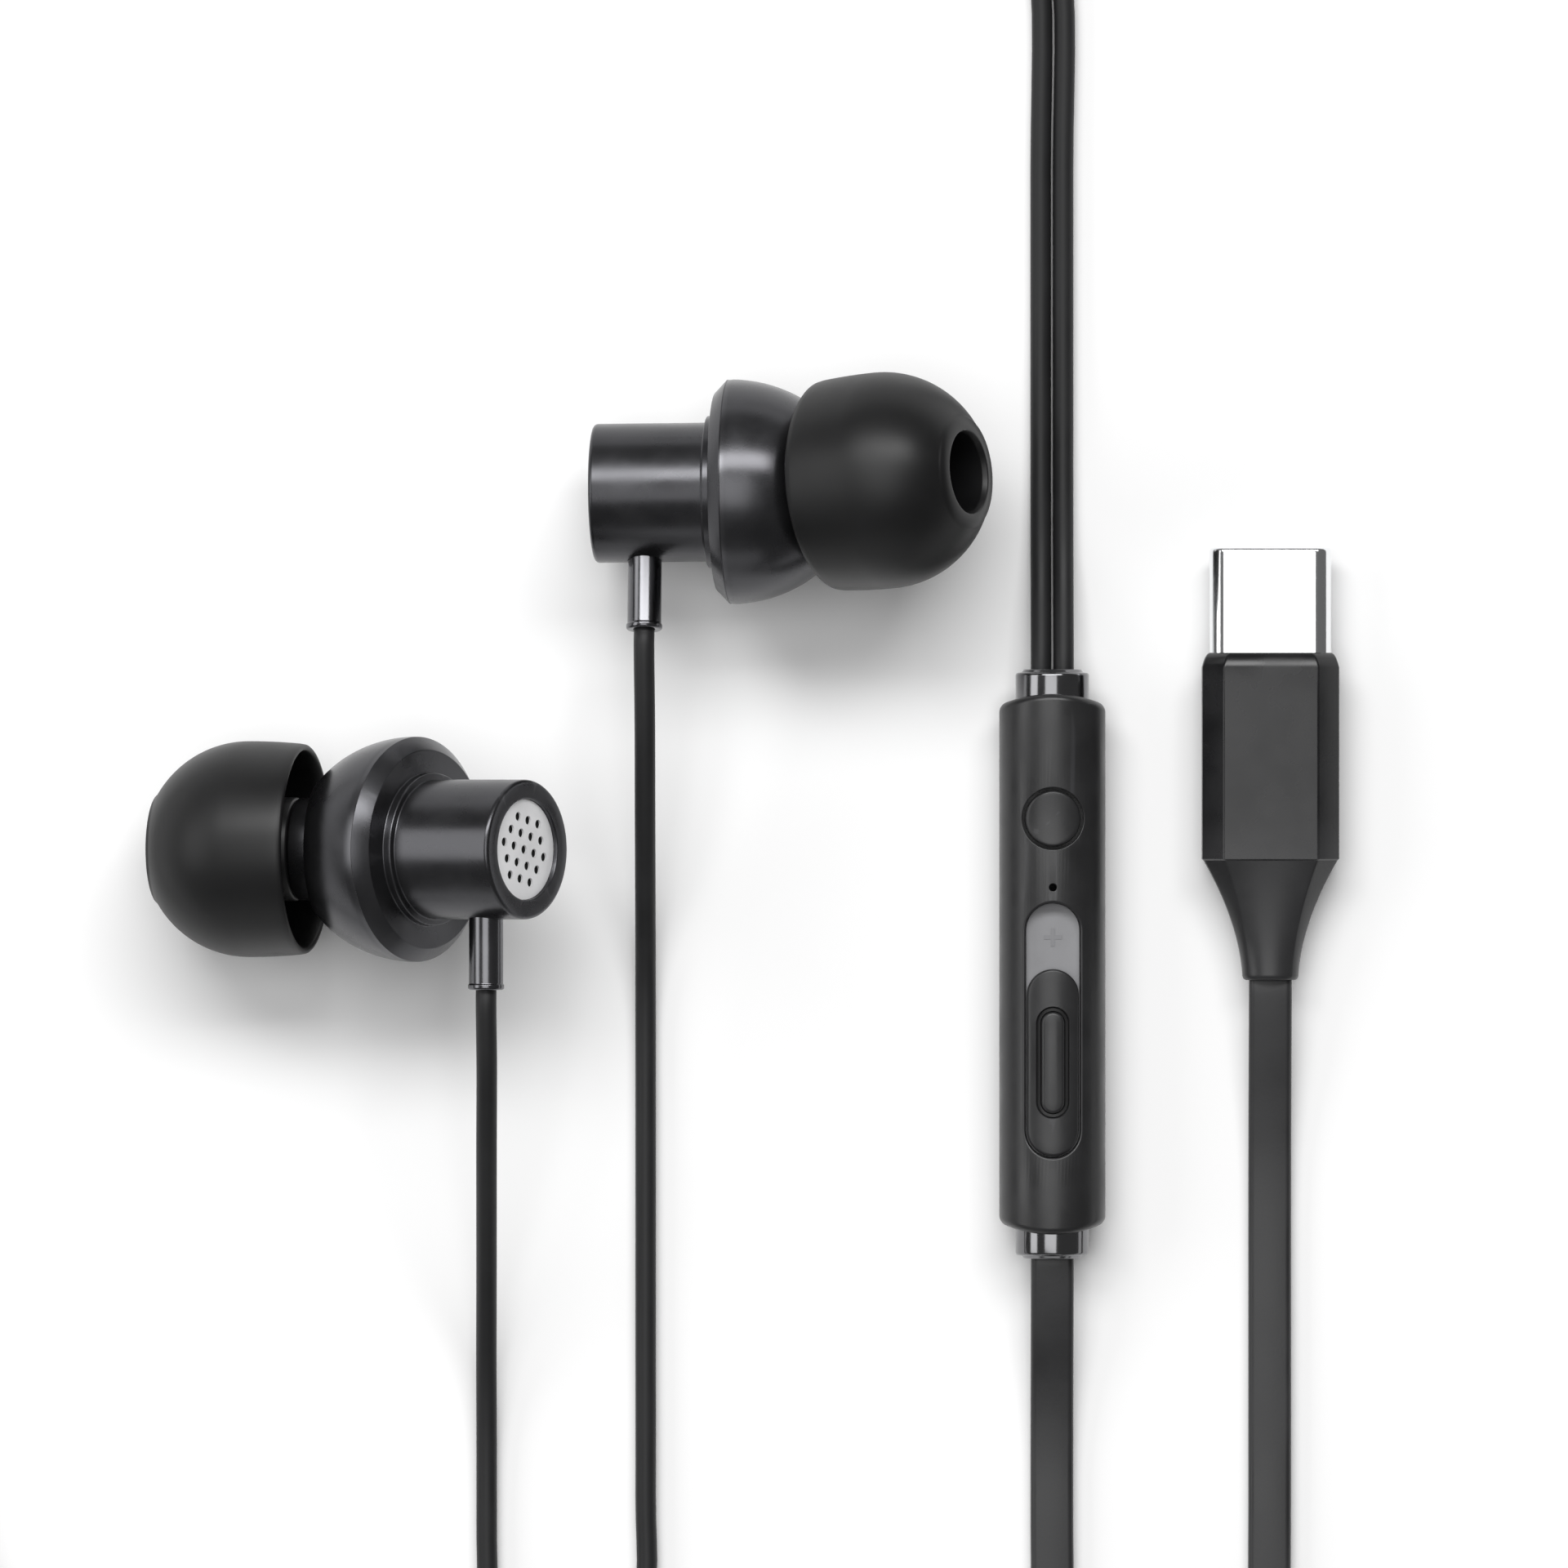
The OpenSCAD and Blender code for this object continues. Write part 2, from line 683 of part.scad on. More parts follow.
// Radius of a bevelled bar's section in the direction a
function bevelled_reach(w, t, c, a) = min(
    w / 2 / max(abs(cos(a)), 0.001),
    t / 2 / max(abs(sin(a)), 0.001),
    (w / 2 + t / 2 - c) / (abs(cos(a)) + abs(sin(a)))
);
function oval_reach(w, t, a) = 1 / sqrt(pow(cos(a) / (w / 2), 2) + pow(sin(a) / (t / 2), 2));

module plug_boot() {
    sides = 40;
    rings = 14;
    end_t = boot_end_w - 0.6;
    // 1 at the body and 0 at the cord, falling fast at first, as a flare does
    function flare(u) = pow(1 - u, 1.75);
    function boot_ring(u) = [
        for (i = [0:sides - 1])
            let (
                a = 360 * i / sides,
                f = flare(u),
                wide = bevelled_reach(body_w, body_t, body_bevel, a),
                r = f * wide + (1 - f) * oval_reach(boot_end_w, end_t, a)
            )
            [r * cos(a), body_back - boot_len * u, r * sin(a)]
    ];
    points = [for (k = [0:rings]) each boot_ring(k / rings)];
    plug_frame() polyhedron(points = points, faces = tube_faces(rings + 1, sides), convexity = 4);
}

module plug_board() {
    inner_w = body_w - 2 * body_wall;
    plug_frame() translate([-inner_w / 2 + 0.5, body_back + 0.6, -0.4])
        cube([inner_w - 1, body_len - shell_inset - 0.9, 0.8]);
}

module plug_chip() {
    plug_frame() {
        translate([-2, body_back + 3, 0.4]) cube([4, 4, 0.75]);
        for (s = [-1, 1], k = [0:2])
            translate([s * 2.6 - 0.25, body_back + 1.4 + 1.6 * k, -0.85]) cube([0.5, 1, 0.45]);
    }
}

// ---------- Cords ----------
// Triangles of a closed tube of equal rings
function tube_faces(rings, sides) = concat(
    [[for (i = [0:sides - 1]) i]],
    [[for (i = [sides - 1:-1:0]) (rings - 1) * sides + i]],
    [
        for (k = [0:rings - 2], i = [0:sides - 1], half = [0, 1])
            let (a = k * sides, b = a + sides, j = (i + 1) % sides)
            half == 0 ? [a + i, b + i, b + j] : [a + i, b + j, a + j]
    ]
);

// A smooth curve through the points; each point is [x, y, z, roll]
function curve_at(p, i, t) = let (
    n = len(p) - 1,
    a = p[max(i - 1, 0)],
    b = p[i],
    c = p[min(i + 1, n)],
    d = p[min(i + 2, n)]
) 0.5 * (2 * b + (c - a) * t + (2 * a - 5 * b + 4 * c - d) * t * t + (3 * b - a - 3 * c + d) * t * t * t);
function smooth_path(p, steps) = concat(
    [for (i = [0:len(p) - 2], k = [0:steps - 1]) curve_at(p, i, k / steps)], [p[len(p) - 1]]
);
function place_of(q) = [q[0], q[1], q[2]];
function unit(v) = v / norm(v);

module sweep(path, section) {
    n = len(path);
    function heading(i) = unit(place_of(path[min(i + 1, n - 1)]) - place_of(path[max(i - 1, 0)]));
    function ring(i) = let (
        along = heading(i),
        level = unit(cross([0, 0, 1], along)),
        rise = cross(along, level),
        across = cos(path[i][3]) * level + sin(path[i][3]) * rise,
        up = cross(along, across)
    ) [for (q = section) place_of(path[i]) + q[0] * across + q[1] * up];
    points = [for (i = [0:n - 1]) each ring(i)];
    polyhedron(points = points, faces = tube_faces(n, len(section)), convexity = 10);
}

// Distance of each earbud cord from the middle line where the two run side by side
strand_x = 0.76;
strand_section = [for (i = [0:7]) strand_d / 2 * [cos(45 * i + 22.5), sin(45 * i + 22.5)]];
main_corner = [[0.5, -0.25], [0.5, 0.25], [0.38, 0.5], [-0.38, 0.5]];
main_section = [for (s = [1, -1], q = main_corner) s * [q[0] * main_w, q[1] * main_t]];

function with_roll(v, roll) = [v[0], v[1], v[2], roll];

// The start of an earbud's cord, from its crimp to just below the stem
function strand_start(side) = [
    for (d = [cavity_r - 2, barrel_r + stem_reach / 2, stem_end, stem_end + 1.5])
        with_roll(on_table(side, [0, -d, stem_pos]), 0)
];
// Its end, from the table into the remote
function strand_end(x) = [
    for (y = [half_len + collar_reach + 1, half_len, half_len - end_wall - 0.8]) [x, y, oval_z, 0]
];

left_route = [
    [-38.2, -7, 13.3, 0], [-38.25, -12, 11.1, 0], [-38.3, -17, 7.9, 0], [-38.35, -22, 4.7, 0],
    [-38.4, -27, 2.2, 0], [-38.4, -32, 1, 0], [-38.4, -39, 0.76, 0], [-38.4, -51, 0.76, 0],
    [-40.9, -60.5, 0.76, 0], [-47.9, -67.4, 0.76, 0], [-57.4, -70, 0.76, 0], [-66.8, -67.4, 0.76, 0],
    [-73.8, -60.5, 0.76, 0], [-76.3, -51, 0.76, 0], [-76.3, -38, 0.76, 0], [-76.3, -12, 0.76, 0],
    [-76.3, 22, 0.76, 0], [-76.3, 47, 0.76, 0], [-76.3, 60.8, 0.76, 0], [-73.9, 69.9, 0.76, 0],
    [-67.2, 76.6, 0.76, 0], [-58, 79, 0.76, 0], [-46, 79, 0.76, 0], [-24, 79, 0.76, 0],
    [-11.8, 79, 0.76, 0], [-5.5, 77.3, 0.76, 0], [-0.9, 72.8, 0.76, 0], [0.76, 66.5, 0.76, 0],
    [0.76, 54, 0.76, 0], [0.76, 40, 0.76, 0], [0.76, 30, 1, 0], [0.76, 25.4, 2, 0]
];
right_route = [
    [-27.6, 16, 8.2, 0], [-27.6, 10, 6.2, 0], [-27.6, 4, 3.1, 0], [-27.6, -2, 1.1, 0],
    [-27.6, -10, 0.76, 0], [-27.6, -24, 0.76, 0], [-27.6, -36, 0.76, 0], [-27.7, -43, 0.76, 0],
    [-29.9, -48.8, 1.2, 0], [-34.8, -51.8, 2.2, 0], [-41, -52.2, 2.4, 0], [-47, -52, 1.2, 0],
    [-55, -52, 0.76, 0], [-65.4, -49.8, 0.76, 0], [-72.4, -43.2, 0.76, 0], [-74.78, -33, 0.76, 0],
    [-74.78, -12, 0.76, 0], [-74.78, 22, 0.76, 0], [-74.78, 47, 0.76, 0], [-74.78, 60.8, 0.76, 0],
    [-72.5, 69.2, 0.76, 0], [-66.4, 75.2, 0.76, 0], [-58, 77.5, 0.76, 0], [-44, 77.5, 0.76, 0],
    [-24, 77.5, 0.76, 0], [-11.8, 77.5, 0.76, 0], [-6.2, 76, 0.76, 0], [-2.2, 72, 0.76, 0],
    [-0.76, 66.5, 0.76, 0], [-0.76, 54, 0.76, 0], [-0.76, 40, 0.76, 0], [-0.76, 30, 1, 0],
    [-0.76, 25.4, 2, 0]
];

module left_cord() {
    sweep(smooth_path(concat(strand_start(LEFT), left_route, strand_end(strand_x)), 2), strand_section);
}

module right_cord() {
    sweep(smooth_path(concat(strand_start(RIGHT), right_route, strand_end(-strand_x)), 2), strand_section);
}

// The main cord's coil stands its flat side upright, in two layers of turns, on its tie
coil_x = 7.4;
coil_y = -76;
coil_outer = 18.1;
coil_inner = 12.6;
coil_base = 0.5;
coil_slack = 0.08;
layer_h = main_w + 0.05;
coil_top = coil_base + layer_h + main_w;
tie_w = 3.2;
tie_t = 0.4;

main_lead_route = [
    [0, -24, 2.4, 0], [0, -28.5, 1.3, 0], [0, -33, 0.72, 0], [0, -38, 0.66, 0],
    [0, -44, 0.66, 0], [-0.4, -49.5, 1, 15], [-1.7, -54.8, 1.5, 45], [-3.9, -59.8, 1.85, 78],
    [-7.1, -65.1, 1.95, 90]
];
main_run_route = [
    [21.9, -65.1, 4.9, 90], [18.8, -60, 4.9, 90], [17.5, -57.2, 4.4, 80], [16.5, -54.4, 3.4, 58],
    [15.6, -51.2, 2.2, 32], [15.1, -48, 1.2, 12], [14.8, -44.4, 0.7, 0], [14.8, -36, 0.66, 0],
    [14.8, -24, 0.66, 0], [14.8, -15, 0.7, 0], [14.8, -10, 1.2, 0], [14.8, -5.5, 2, 0]
];

module main_cord_lead() {
    mouth = half_len + collar_reach;
    start = [for (y = [half_len - end_wall - 0.8, half_len, mouth, mouth + 1]) [0, -y, oval_z, 0]];
    sweep(smooth_path(concat(start, main_lead_route), 2), main_section);
}

module main_cord_run() {
    finish = [for (d = [1, 0]) [plug_x, boot_end - d, plug_z, 0]];
    sweep(smooth_path(concat(main_run_route, finish), 2), main_section);
}

module main_cord_coil() {
    edge_r = main_t / 2 + coil_slack;
    translate([coil_x, coil_y, 0]) pipe(coil_outer + edge_r, coil_inner - edge_r, coil_base, coil_top);
}

module cord_tie() {
    span = coil_outer - coil_inner + main_t + 2 * coil_slack + 0.1;
    height = coil_top - coil_base + 0.1;
    middle = coil_y - (coil_outer + coil_inner) / 2;
    translate([coil_x, middle, (coil_base + coil_top) / 2]) difference() {
        cube([tie_w, span + 2 * tie_t, height + 2 * tie_t], center = true);
        cube([tie_w + 1, span, height], center = true);
    }
}

// ---------- Colours and nodes ----------
module finish_of(name) {
    if (name == "rear_housing" || name == "front_housing" || name == "stem") color(black_metal) children();
    else if (name == "rear_grille" || name == "driver_yoke" || name == "pole_plate") color(steel)
        children();
    else if (name == "ear_tip" || name == "rear_damper" || name == "nozzle_mesh") color(black_rubber)
        children();
    else if (name == "voice_coil") color(copper) children();
    else if (name == "terminal_board") color(board_green) children();
    else if (name == "diaphragm") color(film) children();
    else color([0.5, 0.5, 0.52]) children();
}

module bud_piece(name, side) {
    finish_of(name) place_bud(side) {
        if (name == "rear_housing") rear_housing();
        if (name == "rear_grille") rear_grille();
        if (name == "rear_damper") rear_damper();
        if (name == "front_housing") front_housing(side);
        if (name == "nozzle_mesh") nozzle_mesh(side);
        if (name == "driver_basket") driver_basket();
        if (name == "driver_yoke") driver_yoke();
        if (name == "driver_magnet") driver_magnet();
        if (name == "pole_plate") pole_plate();
        if (name == "voice_coil") voice_coil();
        if (name == "diaphragm") diaphragm();
        if (name == "terminal_board") terminal_board();
        if (name == "stem") stem();
        if (name == "cord_crimp") cord_crimp();
        if (name == "ear_tip") ear_tip(side);
    }
}

bud_pieces = [
    "rear_housing", "rear_grille", "rear_damper", "front_housing", "nozzle_mesh",
    "driver_basket", "driver_yoke", "driver_magnet", "pole_plate", "voice_coil",
    "diaphragm", "terminal_board", "stem", "cord_crimp", "ear_tip"
];
for (name = bud_pieces) {
    bud_piece(name, LEFT);
    bud_piece(name, RIGHT);
}

color(black_plastic) remote_front_shell();
color(black_plastic) remote_back_shell();
color(black_plastic) main_button();
color(steel) button_switch();
color(black_plastic) volume_knob();
color(steel) knob_wiper();
color(track_grey) slider_track();
color(black_rubber) slide_resistor();
color(board_green) remote_board();
color(steel) microphone();
color(black_rubber) mic_gasket();
color(gloss_black) collar(1) cord_slot(2 * strand_x + strand_d + 0.04, strand_d);  // upper_collar
color(gloss_black) collar(-1) cord_slot(main_w, main_t);  // lower_collar
color(steel) plug_shell();
color(gloss_black) plug_tongue();
color(gold) plug_contacts();
color(black_metal) plug_body();
color(black_plastic) plug_boot();
color(board_green) plug_board();
color(gloss_black) plug_chip();
color(black_rubber) left_cord();
color(black_rubber) right_cord();
color(black_rubber) main_cord_lead();
color(black_rubber) main_cord_coil();
color(black_rubber) main_cord_run();
color(gloss_black) cord_tie();
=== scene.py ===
"""Wired in-ear earphones laid flat and seen from straight above, with a remote and a USB-C plug."""

import json
import math

import bmesh
import bpy
from mathutils import Matrix, Vector


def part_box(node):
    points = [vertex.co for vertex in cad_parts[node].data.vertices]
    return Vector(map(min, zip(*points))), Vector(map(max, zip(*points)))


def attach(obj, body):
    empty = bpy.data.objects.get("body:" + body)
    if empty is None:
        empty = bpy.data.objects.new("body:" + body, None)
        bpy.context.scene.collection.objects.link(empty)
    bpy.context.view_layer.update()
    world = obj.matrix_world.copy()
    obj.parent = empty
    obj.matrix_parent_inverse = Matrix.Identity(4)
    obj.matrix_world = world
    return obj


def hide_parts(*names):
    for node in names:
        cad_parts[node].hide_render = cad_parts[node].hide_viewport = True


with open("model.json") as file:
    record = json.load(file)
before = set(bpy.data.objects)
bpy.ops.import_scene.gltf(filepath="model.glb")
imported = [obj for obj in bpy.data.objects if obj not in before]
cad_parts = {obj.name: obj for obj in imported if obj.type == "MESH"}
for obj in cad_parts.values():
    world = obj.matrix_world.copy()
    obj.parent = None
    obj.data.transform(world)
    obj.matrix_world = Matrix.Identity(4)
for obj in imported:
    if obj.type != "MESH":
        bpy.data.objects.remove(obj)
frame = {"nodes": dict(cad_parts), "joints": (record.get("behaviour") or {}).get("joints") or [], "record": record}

MM = 0.001
ROOT = "earphones"
scene = bpy.context.scene
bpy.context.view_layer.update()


# ---------- Camera ----------
view_width = 106.6
view_centre = (-18.2, 12.2)
camera_height = 1300


def make_camera():
    """A long lens straight above the set, so that it sees as flat a picture as a catalogue shot."""
    data = bpy.data.cameras.new("camera")
    data.sensor_width = 36
    data.lens = data.sensor_width * camera_height / view_width
    data.clip_start = 0.05
    data.clip_end = 20
    camera = bpy.data.objects.new("camera", data)
    camera.location = (view_centre[0] * MM, view_centre[1] * MM, camera_height * MM)
    scene.collection.objects.link(camera)
    scene.camera = camera


make_camera()


# ---------- Mesh tools, in millimetres ----------
def link_mesh(name, verts, faces, place=None):
    """A mesh object from points in millimetres, moved by place and then taken to metres."""
    mesh = bpy.data.meshes.new(name)
    mesh.from_pydata([tuple(v) for v in verts], [], faces)
    mesh.transform(Matrix.Scale(MM, 4) @ (place or Matrix()))
    bm = bmesh.new()
    bm.from_mesh(mesh)
    bmesh.ops.recalc_face_normals(bm, faces=bm.faces)
    bm.to_mesh(mesh)
    bm.free()
    obj = bpy.data.objects.new(name, mesh)
    scene.collection.objects.link(obj)
    return obj


def stack(name, loops, ring=False, place=None):
    """A closed skin over equal loops of points, capped at both ends, or joined last to first as a ring."""
    n = len(loops[0])
    verts = [p for loop in loops for p in loop]
    faces = []
    pairs = len(loops) if ring else len(loops) - 1
    for k in range(pairs):
        a, b = k * n, ((k + 1) % len(loops)) * n
        faces += [(a + i, a + (i + 1) % n, b + (i + 1) % n, b + i) for i in range(n)]
    if not ring:
        faces.append(tuple(range(n - 1, -1, -1)))
        faces.append(tuple((len(loops) - 1) * n + i for i in range(n)))
    return link_mesh(name, verts, faces, place)


def lathe(name, profile, place=None, sides=128):
    """A closed outline of (radius, height) points, turned about Z. Points on the axis become poles."""
    verts, rings = [], []
    for r, z in profile:
        if r < 1e-6:
            rings.append([len(verts)])
            verts.append((0, 0, z))
        else:
            rings.append(list(range(len(verts), len(verts) + sides)))
            turns = [math.tau * i / sides for i in range(sides)]
            verts += [(r * math.cos(a), r * math.sin(a), z) for a in turns]
    faces = []
    for a, b in zip(rings, rings[1:] + rings[:1]):
        for i in range(sides):
            j = (i + 1) % sides
            quad = [a[i % len(a)], a[j % len(a)], b[j % len(b)], b[i % len(b)]]
            face = tuple(dict.fromkeys(quad))
            if len(face) > 2:
                faces.append(face)
    return link_mesh(name, verts, faces, place)


def rounded(points, radius, steps=4):
    """The closed outline through points, corners rounded. A point's third number is its own radius."""
    out = []
    count = len(points)
    for i, point in enumerate(points):
        here = Vector(point[:2])
        back = Vector(points[i - 1][:2]) - here
        ahead = Vector(points[(i + 1) % count][:2]) - here
        r = point[2] if len(point) > 2 else radius
        half = back.angle(ahead) / 2
        reach = min(r / math.tan(half), back.length * 0.49, ahead.length * 0.49) if r > 0 else 0
        if reach < 1e-4 or half > math.radians(88):
            out.append(tuple(here))
            continue
        r = reach * math.tan(half)
        middle = here + (back.normalized() + ahead.normalized()).normalized() * (r / math.sin(half))
        start = here + back.normalized() * reach - middle
        turn = start.angle_signed(here + ahead.normalized() * reach - middle)
        for k in range(steps + 1):
            a = -turn * k / steps
            out.append((
                middle.x + start.x * math.cos(a) - start.y * math.sin(a),
                middle.y + start.x * math.sin(a) + start.y * math.cos(a),
            ))
    return out


def slot_outline(width, length, inset=0, arc=16):
    """A round-ended slot along Y, drawn in by inset, always with the same number of points."""
    r = max(width / 2 - inset, 0.001)
    run = (length - width) / 2
    points = []
    for end in (1, -1):
        for k in range(arc + 1):
            a = math.pi * k / arc + (0 if end > 0 else math.pi)
            points.append((r * math.cos(a), end * run + r * math.sin(a)))
    return points


def combine(obj, tool, operation="DIFFERENCE"):
    """Cuts tool from obj, or joins it to obj, and drops the tool."""
    step = obj.modifiers.new("combine", "BOOLEAN")
    step.operation = operation
    step.solver = "EXACT"
    step.object = tool
    shape = bpy.data.meshes.new_from_object(obj.evaluated_get(bpy.context.evaluated_depsgraph_get()))
    obj.modifiers.clear()
    obj.data = shape
    bpy.data.objects.remove(tool)
    bm = bmesh.new()
    bm.from_mesh(shape)
    bmesh.ops.dissolve_degenerate(bm, edges=bm.edges, dist=1e-8)
    bmesh.ops.remove_doubles(bm, verts=bm.verts, dist=2e-8)
    bm.to_mesh(shape)
    bm.free()
    return obj


def soften(obj, sharp_angle):
    """Smooth shading, with a crease only where faces meet at more than sharp_angle."""
    bm = bmesh.new()
    bm.from_mesh(obj.data)
    bmesh.ops.remove_doubles(bm, verts=bm.verts, dist=2e-7)
    bmesh.ops.recalc_face_normals(bm, faces=bm.faces)
    for face in bm.faces:
        face.smooth = True
    limit = math.radians(sharp_angle)
    for edge in bm.edges:
        edge.smooth = len(edge.link_faces) == 2 and edge.calc_face_angle(math.pi) < limit
    bm.to_mesh(obj.data)
    bm.free()


def settle(obj, material, *nodes, body=ROOT, slot=None, sharp_angle=38):
    """Finishes a piece: its shading, material and body, and the CAD nodes that it stands for."""
    soften(obj, sharp_angle)
    obj.data.materials.clear()
    obj.data.materials.append(material)
    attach(obj, body)
    if nodes:
        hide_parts(*nodes)
    return obj


slot_of = {row["node"]: row["material_slot"] for row in frame["record"]["subparts"]}


# ---------- Materials ----------
class NodeMaker:
    """Adds shader nodes to a material and links them."""

    def __init__(self, material):
        self.tree = material.node_tree

    def add(self, kind, **values):
        node = self.tree.nodes.new(kind)
        for socket, value in values.items():
            node.inputs[socket.replace("_", " ")].default_value = value
        return node

    def link(self, output, socket):
        self.tree.links.new(output, socket)

    def spread(self, value, low, high, start=0.3, end=0.7):
        """Takes a value from between start and end to between low and high."""
        node = self.add("ShaderNodeMapRange", From_Min=start, From_Max=end, To_Min=low, To_Max=high)
        self.link(value, node.inputs["Value"])
        return node.outputs["Result"]

    def mix(self, factor, a, b):
        """Mixes two colours, each a plain colour or a node's output."""
        node = self.tree.nodes.new("ShaderNodeMix")
        node.data_type = "RGBA"
        self.link(factor, node.inputs["Factor"])
        for name, colour in (("A", a), ("B", b)):
            if isinstance(colour, tuple):
                node.inputs[name].default_value = (*colour, 1)
            else:
                self.link(colour, node.inputs[name])
        return node.outputs["Result"]


def finish_material(
    name,
    colour,
    roughness,
    metallic=0.0,
    grain=0.25,
    grain_height=0.004,
    roughness_change=0.06,
    colour_change=0.12,
    stretch=(1, 1, 1),
    edge_wear_and_highlight=0.0,
    edge_wear_and_highlight_colour=(0.2, 0.2, 0.2),
    **sockets,
):
    """A surface with fine grain, uneven gloss and colour, and lighter edges: worn edges, and on the plug's case
    also a painted edge highlight. grain is in millimetres.
    """
    material = bpy.data.materials.new(name)
    material.use_nodes = True
    make = NodeMaker(material)
    shader = material.node_tree.nodes["Principled BSDF"]
    shader.inputs["Metallic"].default_value = metallic
    for socket, value in sockets.items():
        shader.inputs[socket.replace("_", " ")].default_value = value

    place = make.add("ShaderNodeTexCoord")
    mapping = make.add("ShaderNodeMapping", Scale=stretch)
    make.link(place.outputs["Object"], mapping.inputs["Vector"])
    fine = make.add("ShaderNodeTexNoise", Scale=1 / (grain * MM), Detail=3)
    broad = make.add("ShaderNodeTexNoise", Scale=1 / (22 * grain * MM), Detail=4)
    for noise in (fine, broad):
        make.link(mapping.outputs["Vector"], noise.inputs["Vector"])

    uneven = broad.outputs["Fac"]
    gloss = make.spread(uneven, roughness - roughness_change, roughness + roughness_change)
    make.link(gloss, shader.inputs["Roughness"])
    darker = tuple(c * (1 - colour_change) for c in colour)
    lighter = tuple(c * (1 + colour_change) for c in colour)
    tint = make.mix(make.spread(uneven, 0, 1), darker, lighter)
    # Lighter edges by pointiness: worn edges, and on the plug's case partly a painted edge highlight.
    if edge_wear_and_highlight:
        edges = make.add("ShaderNodeNewGeometry")
        worn_and_lit_edges = make.spread(edges.outputs["Pointiness"], 0, edge_wear_and_highlight, 0.53, 0.62)
        tint = make.mix(worn_and_lit_edges, tint, edge_wear_and_highlight_colour)
    make.link(tint, shader.inputs["Base Color"])

    bump = make.add("ShaderNodeBump", Strength=0.6, Distance=grain_height * MM)
    make.link(fine.outputs["Fac"], bump.inputs["Height"])
    make.link(bump.outputs["Normal"], shader.inputs["Normal"])
    return material


black_metal = finish_material(
    "black_metal", (0.074, 0.074, 0.079), 0.29, metallic=0.92, grain=0.16, grain_height=0.003,
    edge_wear_and_highlight=0.35, edge_wear_and_highlight_colour=(0.2, 0.2, 0.21),
)
stem_metal = finish_material(
    "stem_metal", (0.13, 0.13, 0.137), 0.2, metallic=1.0, grain=0.12, grain_height=0.001,
    roughness_change=0.04,
)
black_silicone = finish_material(
    "black_silicone", (0.006, 0.006, 0.0064), 0.43, grain=0.35, grain_height=0.004, colour_change=0.2,
    Specular_IOR_Level=0.36,
)
black_case = finish_material(
    "black_case", (0.016, 0.016, 0.0168), 0.37, grain=0.12, grain_height=0.006,
    edge_wear_and_highlight=0.3, edge_wear_and_highlight_colour=(0.06, 0.06, 0.065),
)
# The plug case's lighter edges are partly wear and partly a painted edge highlight.
plug_case = finish_material(
    "plug_case", (0.011, 0.011, 0.0118), 0.27, grain=0.14, grain_height=0.002, IOR=1.42,
    edge_wear_and_highlight=0.5, edge_wear_and_highlight_colour=(0.12, 0.12, 0.125),
)
boot_plastic = finish_material("boot_plastic", (0.022, 0.022, 0.0232), 0.36, grain=0.2, grain_height=0.005)
gloss_collar = finish_material(
    "gloss_collar", (0.19, 0.19, 0.196), 0.13, metallic=1.0, grain=0.5, grain_height=0.001,
    roughness_change=0.03,
)
cord_jacket = finish_material(
    "cord_jacket", (0.021, 0.021, 0.022), 0.44, grain=0.22, grain_height=0.008, colour_change=0.18,
)
strand_jacket = finish_material(
    "strand_jacket", (0.015, 0.015, 0.0158), 0.5, grain=0.22, grain_height=0.006, colour_change=0.18,
    Specular_IOR_Level=0.3,
)
tie_strap = finish_material("tie_strap", (0.02, 0.02, 0.022), 0.5, grain=0.3, grain_height=0.01)
bright_steel = finish_material(
    "bright_steel", (0.95, 0.95, 0.96), 0.34, metallic=0.35, grain=0.12, grain_height=0.001,
    colour_change=0.03,
)
plug_metal = finish_material(
    "plug_metal", (0.9, 0.91, 0.92), 0.14, metallic=1.0, grain=0.1, grain_height=0.001, colour_change=0.03,
    roughness_change=0.03, stretch=(1, 0.12, 1),
)
gold_contact = finish_material(
    "gold_contact", (0.83, 0.6, 0.22), 0.22, metallic=1.0, grain=0.1, grain_height=0.001,
)
dark_mesh = finish_material("dark_mesh", (0.02, 0.02, 0.02), 0.5, metallic=0.6, grain=0.12, grain_height=0.02)
acoustic_foam = finish_material("acoustic_foam", (0.004, 0.004, 0.004), 0.95, grain=0.18, grain_height=0.08)
inner_plastic = finish_material("inner_plastic", (0.03, 0.03, 0.032), 0.45, grain=0.3)
magnet_metal = finish_material(
    "magnet_metal", (0.5, 0.5, 0.52), 0.3, metallic=1.0, grain=0.2, grain_height=0.002,
)
copper_wire = finish_material(
    "copper_wire", (0.72, 0.34, 0.14), 0.3, metallic=1.0, grain=0.06, stretch=(1, 1, 8),
)
polymer_film = finish_material("polymer_film", (0.62, 0.56, 0.4), 0.2, grain=0.4, grain_height=0.002)
circuit_board = finish_material("circuit_board", (0.012, 0.16, 0.06), 0.3, grain=0.5, grain_height=0.003)
grey_track = finish_material("grey_track", (0.24, 0.24, 0.25), 0.45, grain=0.16, grain_height=0.005)
grey_mark = finish_material("grey_mark", (0.205, 0.205, 0.215), 0.4, grain=0.16, grain_height=0.003)
carbon_film = finish_material("carbon_film", (0.02, 0.02, 0.02), 0.6, grain=0.2)

